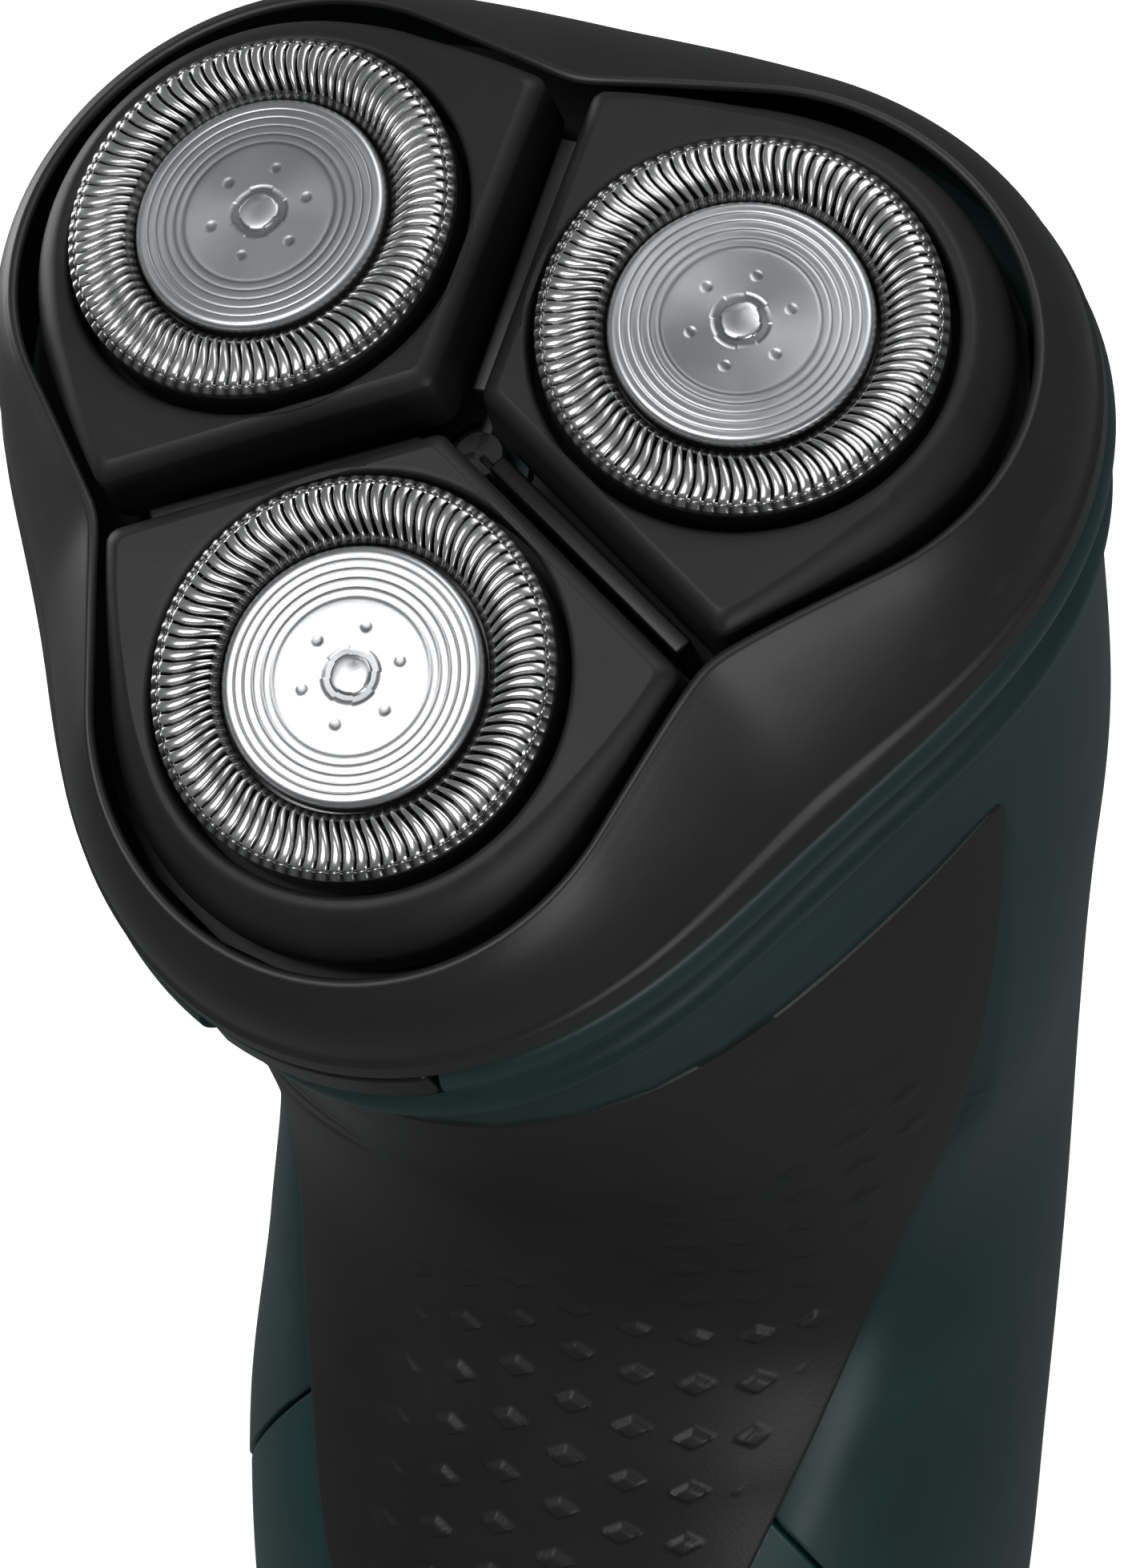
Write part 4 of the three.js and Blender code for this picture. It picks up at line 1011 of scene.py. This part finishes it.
def build_grip():
    """The rubber grip: rounded border, studs below and shallow creases under the neck."""
    across = [*np.linspace(-1, -0.985, 5), *np.linspace(-0.975, 0.975, 260), *np.linspace(0.985, 1, 5)]
    up = [*np.linspace(0, 0.01, 4), *np.linspace(0.015, 0.985, 330), *np.linspace(0.99, 1, 5)]
    share_across, share_along = np.meshgrid(across, up)
    places = GRIP_BOTTOM + (GRIP_TOP - GRIP_BOTTOM) * share_along
    half = grip_half_angle(places)
    corner = np.clip((places - (GRIP_TOP - 0.22)) / 0.22, 0, 1)
    half = half - 0.09 * (1 - np.sqrt(np.clip(1 - corner ** 2, 0, 1)))
    angles = share_across * half
    middle = handle_point(0.0, places[:, 0])
    steps = np.linalg.norm(np.diff(middle, axis=0), axis=-1)
    run = np.concatenate([[0], np.cumsum(steps)])[:, None]  # millimetres up the grip's middle line
    sideways = angles * GRIP_RADIUS
    strength = STUD_RISE * stud_share(sideways, run, half * GRIP_RADIUS - np.abs(sideways))
    relief = crease_depth(sideways, run) - stud_height(sideways, run, strength)
    inset = rounded_border(angles, places, 0.5) - 0.12 + relief
    vertices, faces = patch(angles, places, inset, 1.3)
    grip = make_object("rubber_grip", handle_to_row(vertices), faces, "rubber", "handle", 60)
    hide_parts("front_grip")


def build_controls():
    """Power button with a dished top and a plain ring, and its small indicator lens."""
    facing_front = rotation("X", math.pi / 2).T
    vertices, faces = lathe([
        (0, -7.9), (2, -7.9), (2, -1.2), (5.8, -1.2), (6.1, -0.9), (6.1, 1.2), (5.95, 1.55), (5.6, 1.8),
        (5.2, 1.85), (4.6, 1.7), (3.55, 1.62), (3.45, 1.52), (3.1, 1.52), (3.0, 1.62), (1.5, 1.55),
        (0, 1.53),
    ])
    vertices = vertices @ facing_front + (0, BUTTON_Y, BUTTON_Z)
    button = make_object("power_key", handle_to_row(vertices), faces, "button", "power_button",
                         50)
    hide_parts("power_button")
    vertices, faces = lathe([(0, -1.5), (1.2, -1.5), (1.2, 0.3), (1.05, 0.5), (0.6, 0.58), (0, 0.6)], 40)
    vertices = vertices @ facing_front + (0, LENS_Y, LENS_Z)
    lens = make_object("status_lens", handle_to_row(vertices), faces, "lens", "handle", 50)
    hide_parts("indicator_lens")


# ---------------------------------------------------------------- carried-over CAD nodes

CARRIED = {
    "pod": ["hair_chamber", "retaining_frame", "gearbox_cover", "gearbox_tray", "base_cap",
            "charging_socket", "power_switch"],
    "steel": ["hinge_pin", "motor", "base_screw_left", "base_screw_right", "battery_link",
              "battery_tab_left", "battery_tab_right", "spindle_front", "spindle_right", "spindle_left"],
    "white": ["chassis", "gear_front", "gear_right", "gear_left"],
    "teal": ["retaining_lock"],
    "rubber": ["motor_damper"],
    "brass": ["motor_pinion", "socket_pin_left", "socket_pin_right"],
    "board": ["circuit_board"],
    "cell": ["battery_cell_left", "battery_cell_right"],
}


def finish_carried_nodes():
    """Gives the CAD nodes that stay their materials."""
    for look, names in CARRIED.items():
        for name in names:
            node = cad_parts[name]
            node.data.materials.clear()
            node.data.materials.append(MATERIALS[look])


# ---------------------------------------------------------------- scene

FLOOR_HALF = 6.0
FLOOR_LEVEL = -0.0002  # just under the base


def build_floor():
    """A plain pale floor that runs on to the horizon."""
    material, nodes, _ = node_material("pale_floor")
    shader = nodes["Principled BSDF"]
    shader.inputs["Base Color"].default_value = (0.9, 0.9, 0.9, 1)
    shader.inputs["Roughness"].default_value = 0.9
    shader.inputs["Emission Color"].default_value = (1, 1, 1, 1)
    shader.inputs["Emission Strength"].default_value = 0.75
    mesh = bpy.data.meshes.new("floor")
    signs = ((-1, -1), (1, -1), (1, 1), (-1, 1))
    corners = [(x * FLOOR_HALF, y * FLOOR_HALF, FLOOR_LEVEL) for x, y in signs]
    mesh.from_pydata(corners, [], [(0, 1, 2, 3)])
    mesh.materials.append(material)
    floor = bpy.data.objects.new("floor", mesh)
    bpy.context.scene.collection.objects.link(floor)
    floor.visible_diffuse = False
    floor.visible_glossy = False


def build_room():
    """Dim, even light from all round."""
    bpy.context.scene.view_settings.view_transform = "Standard"
    world = bpy.data.worlds.new("soft_room")
    bpy.context.scene.world = world
    world.use_nodes = True
    background = world.node_tree.nodes["Background"]
    background.inputs["Color"].default_value = (0.95, 0.98, 1, 1)
    background.inputs["Strength"].default_value = 0.16


LIT_POINT = Vector((0, -0.02, 0.14))
PANELS = {  # direction from the lit point, distance, width, height, power
    "key_panel": ((-0.25, -0.75, 0.8), 0.9, 0.4, 0.4, 3.3),
    "top_panel": ((0.2, 0.25, 1.0), 1.1, 0.9, 0.5, 3.4),
    "right_panel": ((0.82, -0.57, -0.2), 0.55, 0.25, 0.25, 1.1),
    "left_panel": ((-0.9, 0.4, 0.0), 0.8, 0.3, 0.5, 2.4),
}


def build_lights():
    """Soft rectangular panels that face the shaver."""
    for name, (direction, distance, width, height, power) in PANELS.items():
        light = bpy.data.lights.new(name, "AREA")
        light.shape = "RECTANGLE"
        light.size = width
        light.size_y = height
        light.energy = power
        obj = bpy.data.objects.new(name, light)
        bpy.context.scene.collection.objects.link(obj)
        obj.location = LIT_POINT + Vector(direction).normalized() * distance
        obj.rotation_euler = (LIT_POINT - obj.location).to_track_quat("-Z", "Y").to_euler()


CAMERA_PLACE = (105.4, -248.7, 182.2)  # from the face's centre
CAMERA_RIGHT = (0.928, 0.3724, 0.0079)
CAMERA_BACK = (0.2897, -0.7349, 0.6130)


def build_camera():
    """A long lens that looks down on the shaver from the front right."""
    camera = bpy.data.cameras.new("camera")
    camera.lens = 132.4
    camera.sensor_width = 36
    camera.sensor_fit = "AUTO"
    camera.clip_start = 0.01
    obj = bpy.data.objects.new("camera", camera)
    bpy.context.scene.collection.objects.link(obj)
    right = Vector(CAMERA_RIGHT).normalized()
    back = Vector(CAMERA_BACK).normalized()
    axes = Matrix((right, back.cross(right), back)).transposed().to_4x4()
    obj.matrix_world = Matrix.Translation(handle_to_row(CAMERA_PLACE)) @ axes
    bpy.context.scene.camera = obj


for head in HEADS:
    place_head(head)
build_unit()
build_neck()
build_shells()
build_sleeve()
build_grip()
build_controls()
finish_carried_nodes()
build_floor()
build_room()
build_lights()
build_camera()
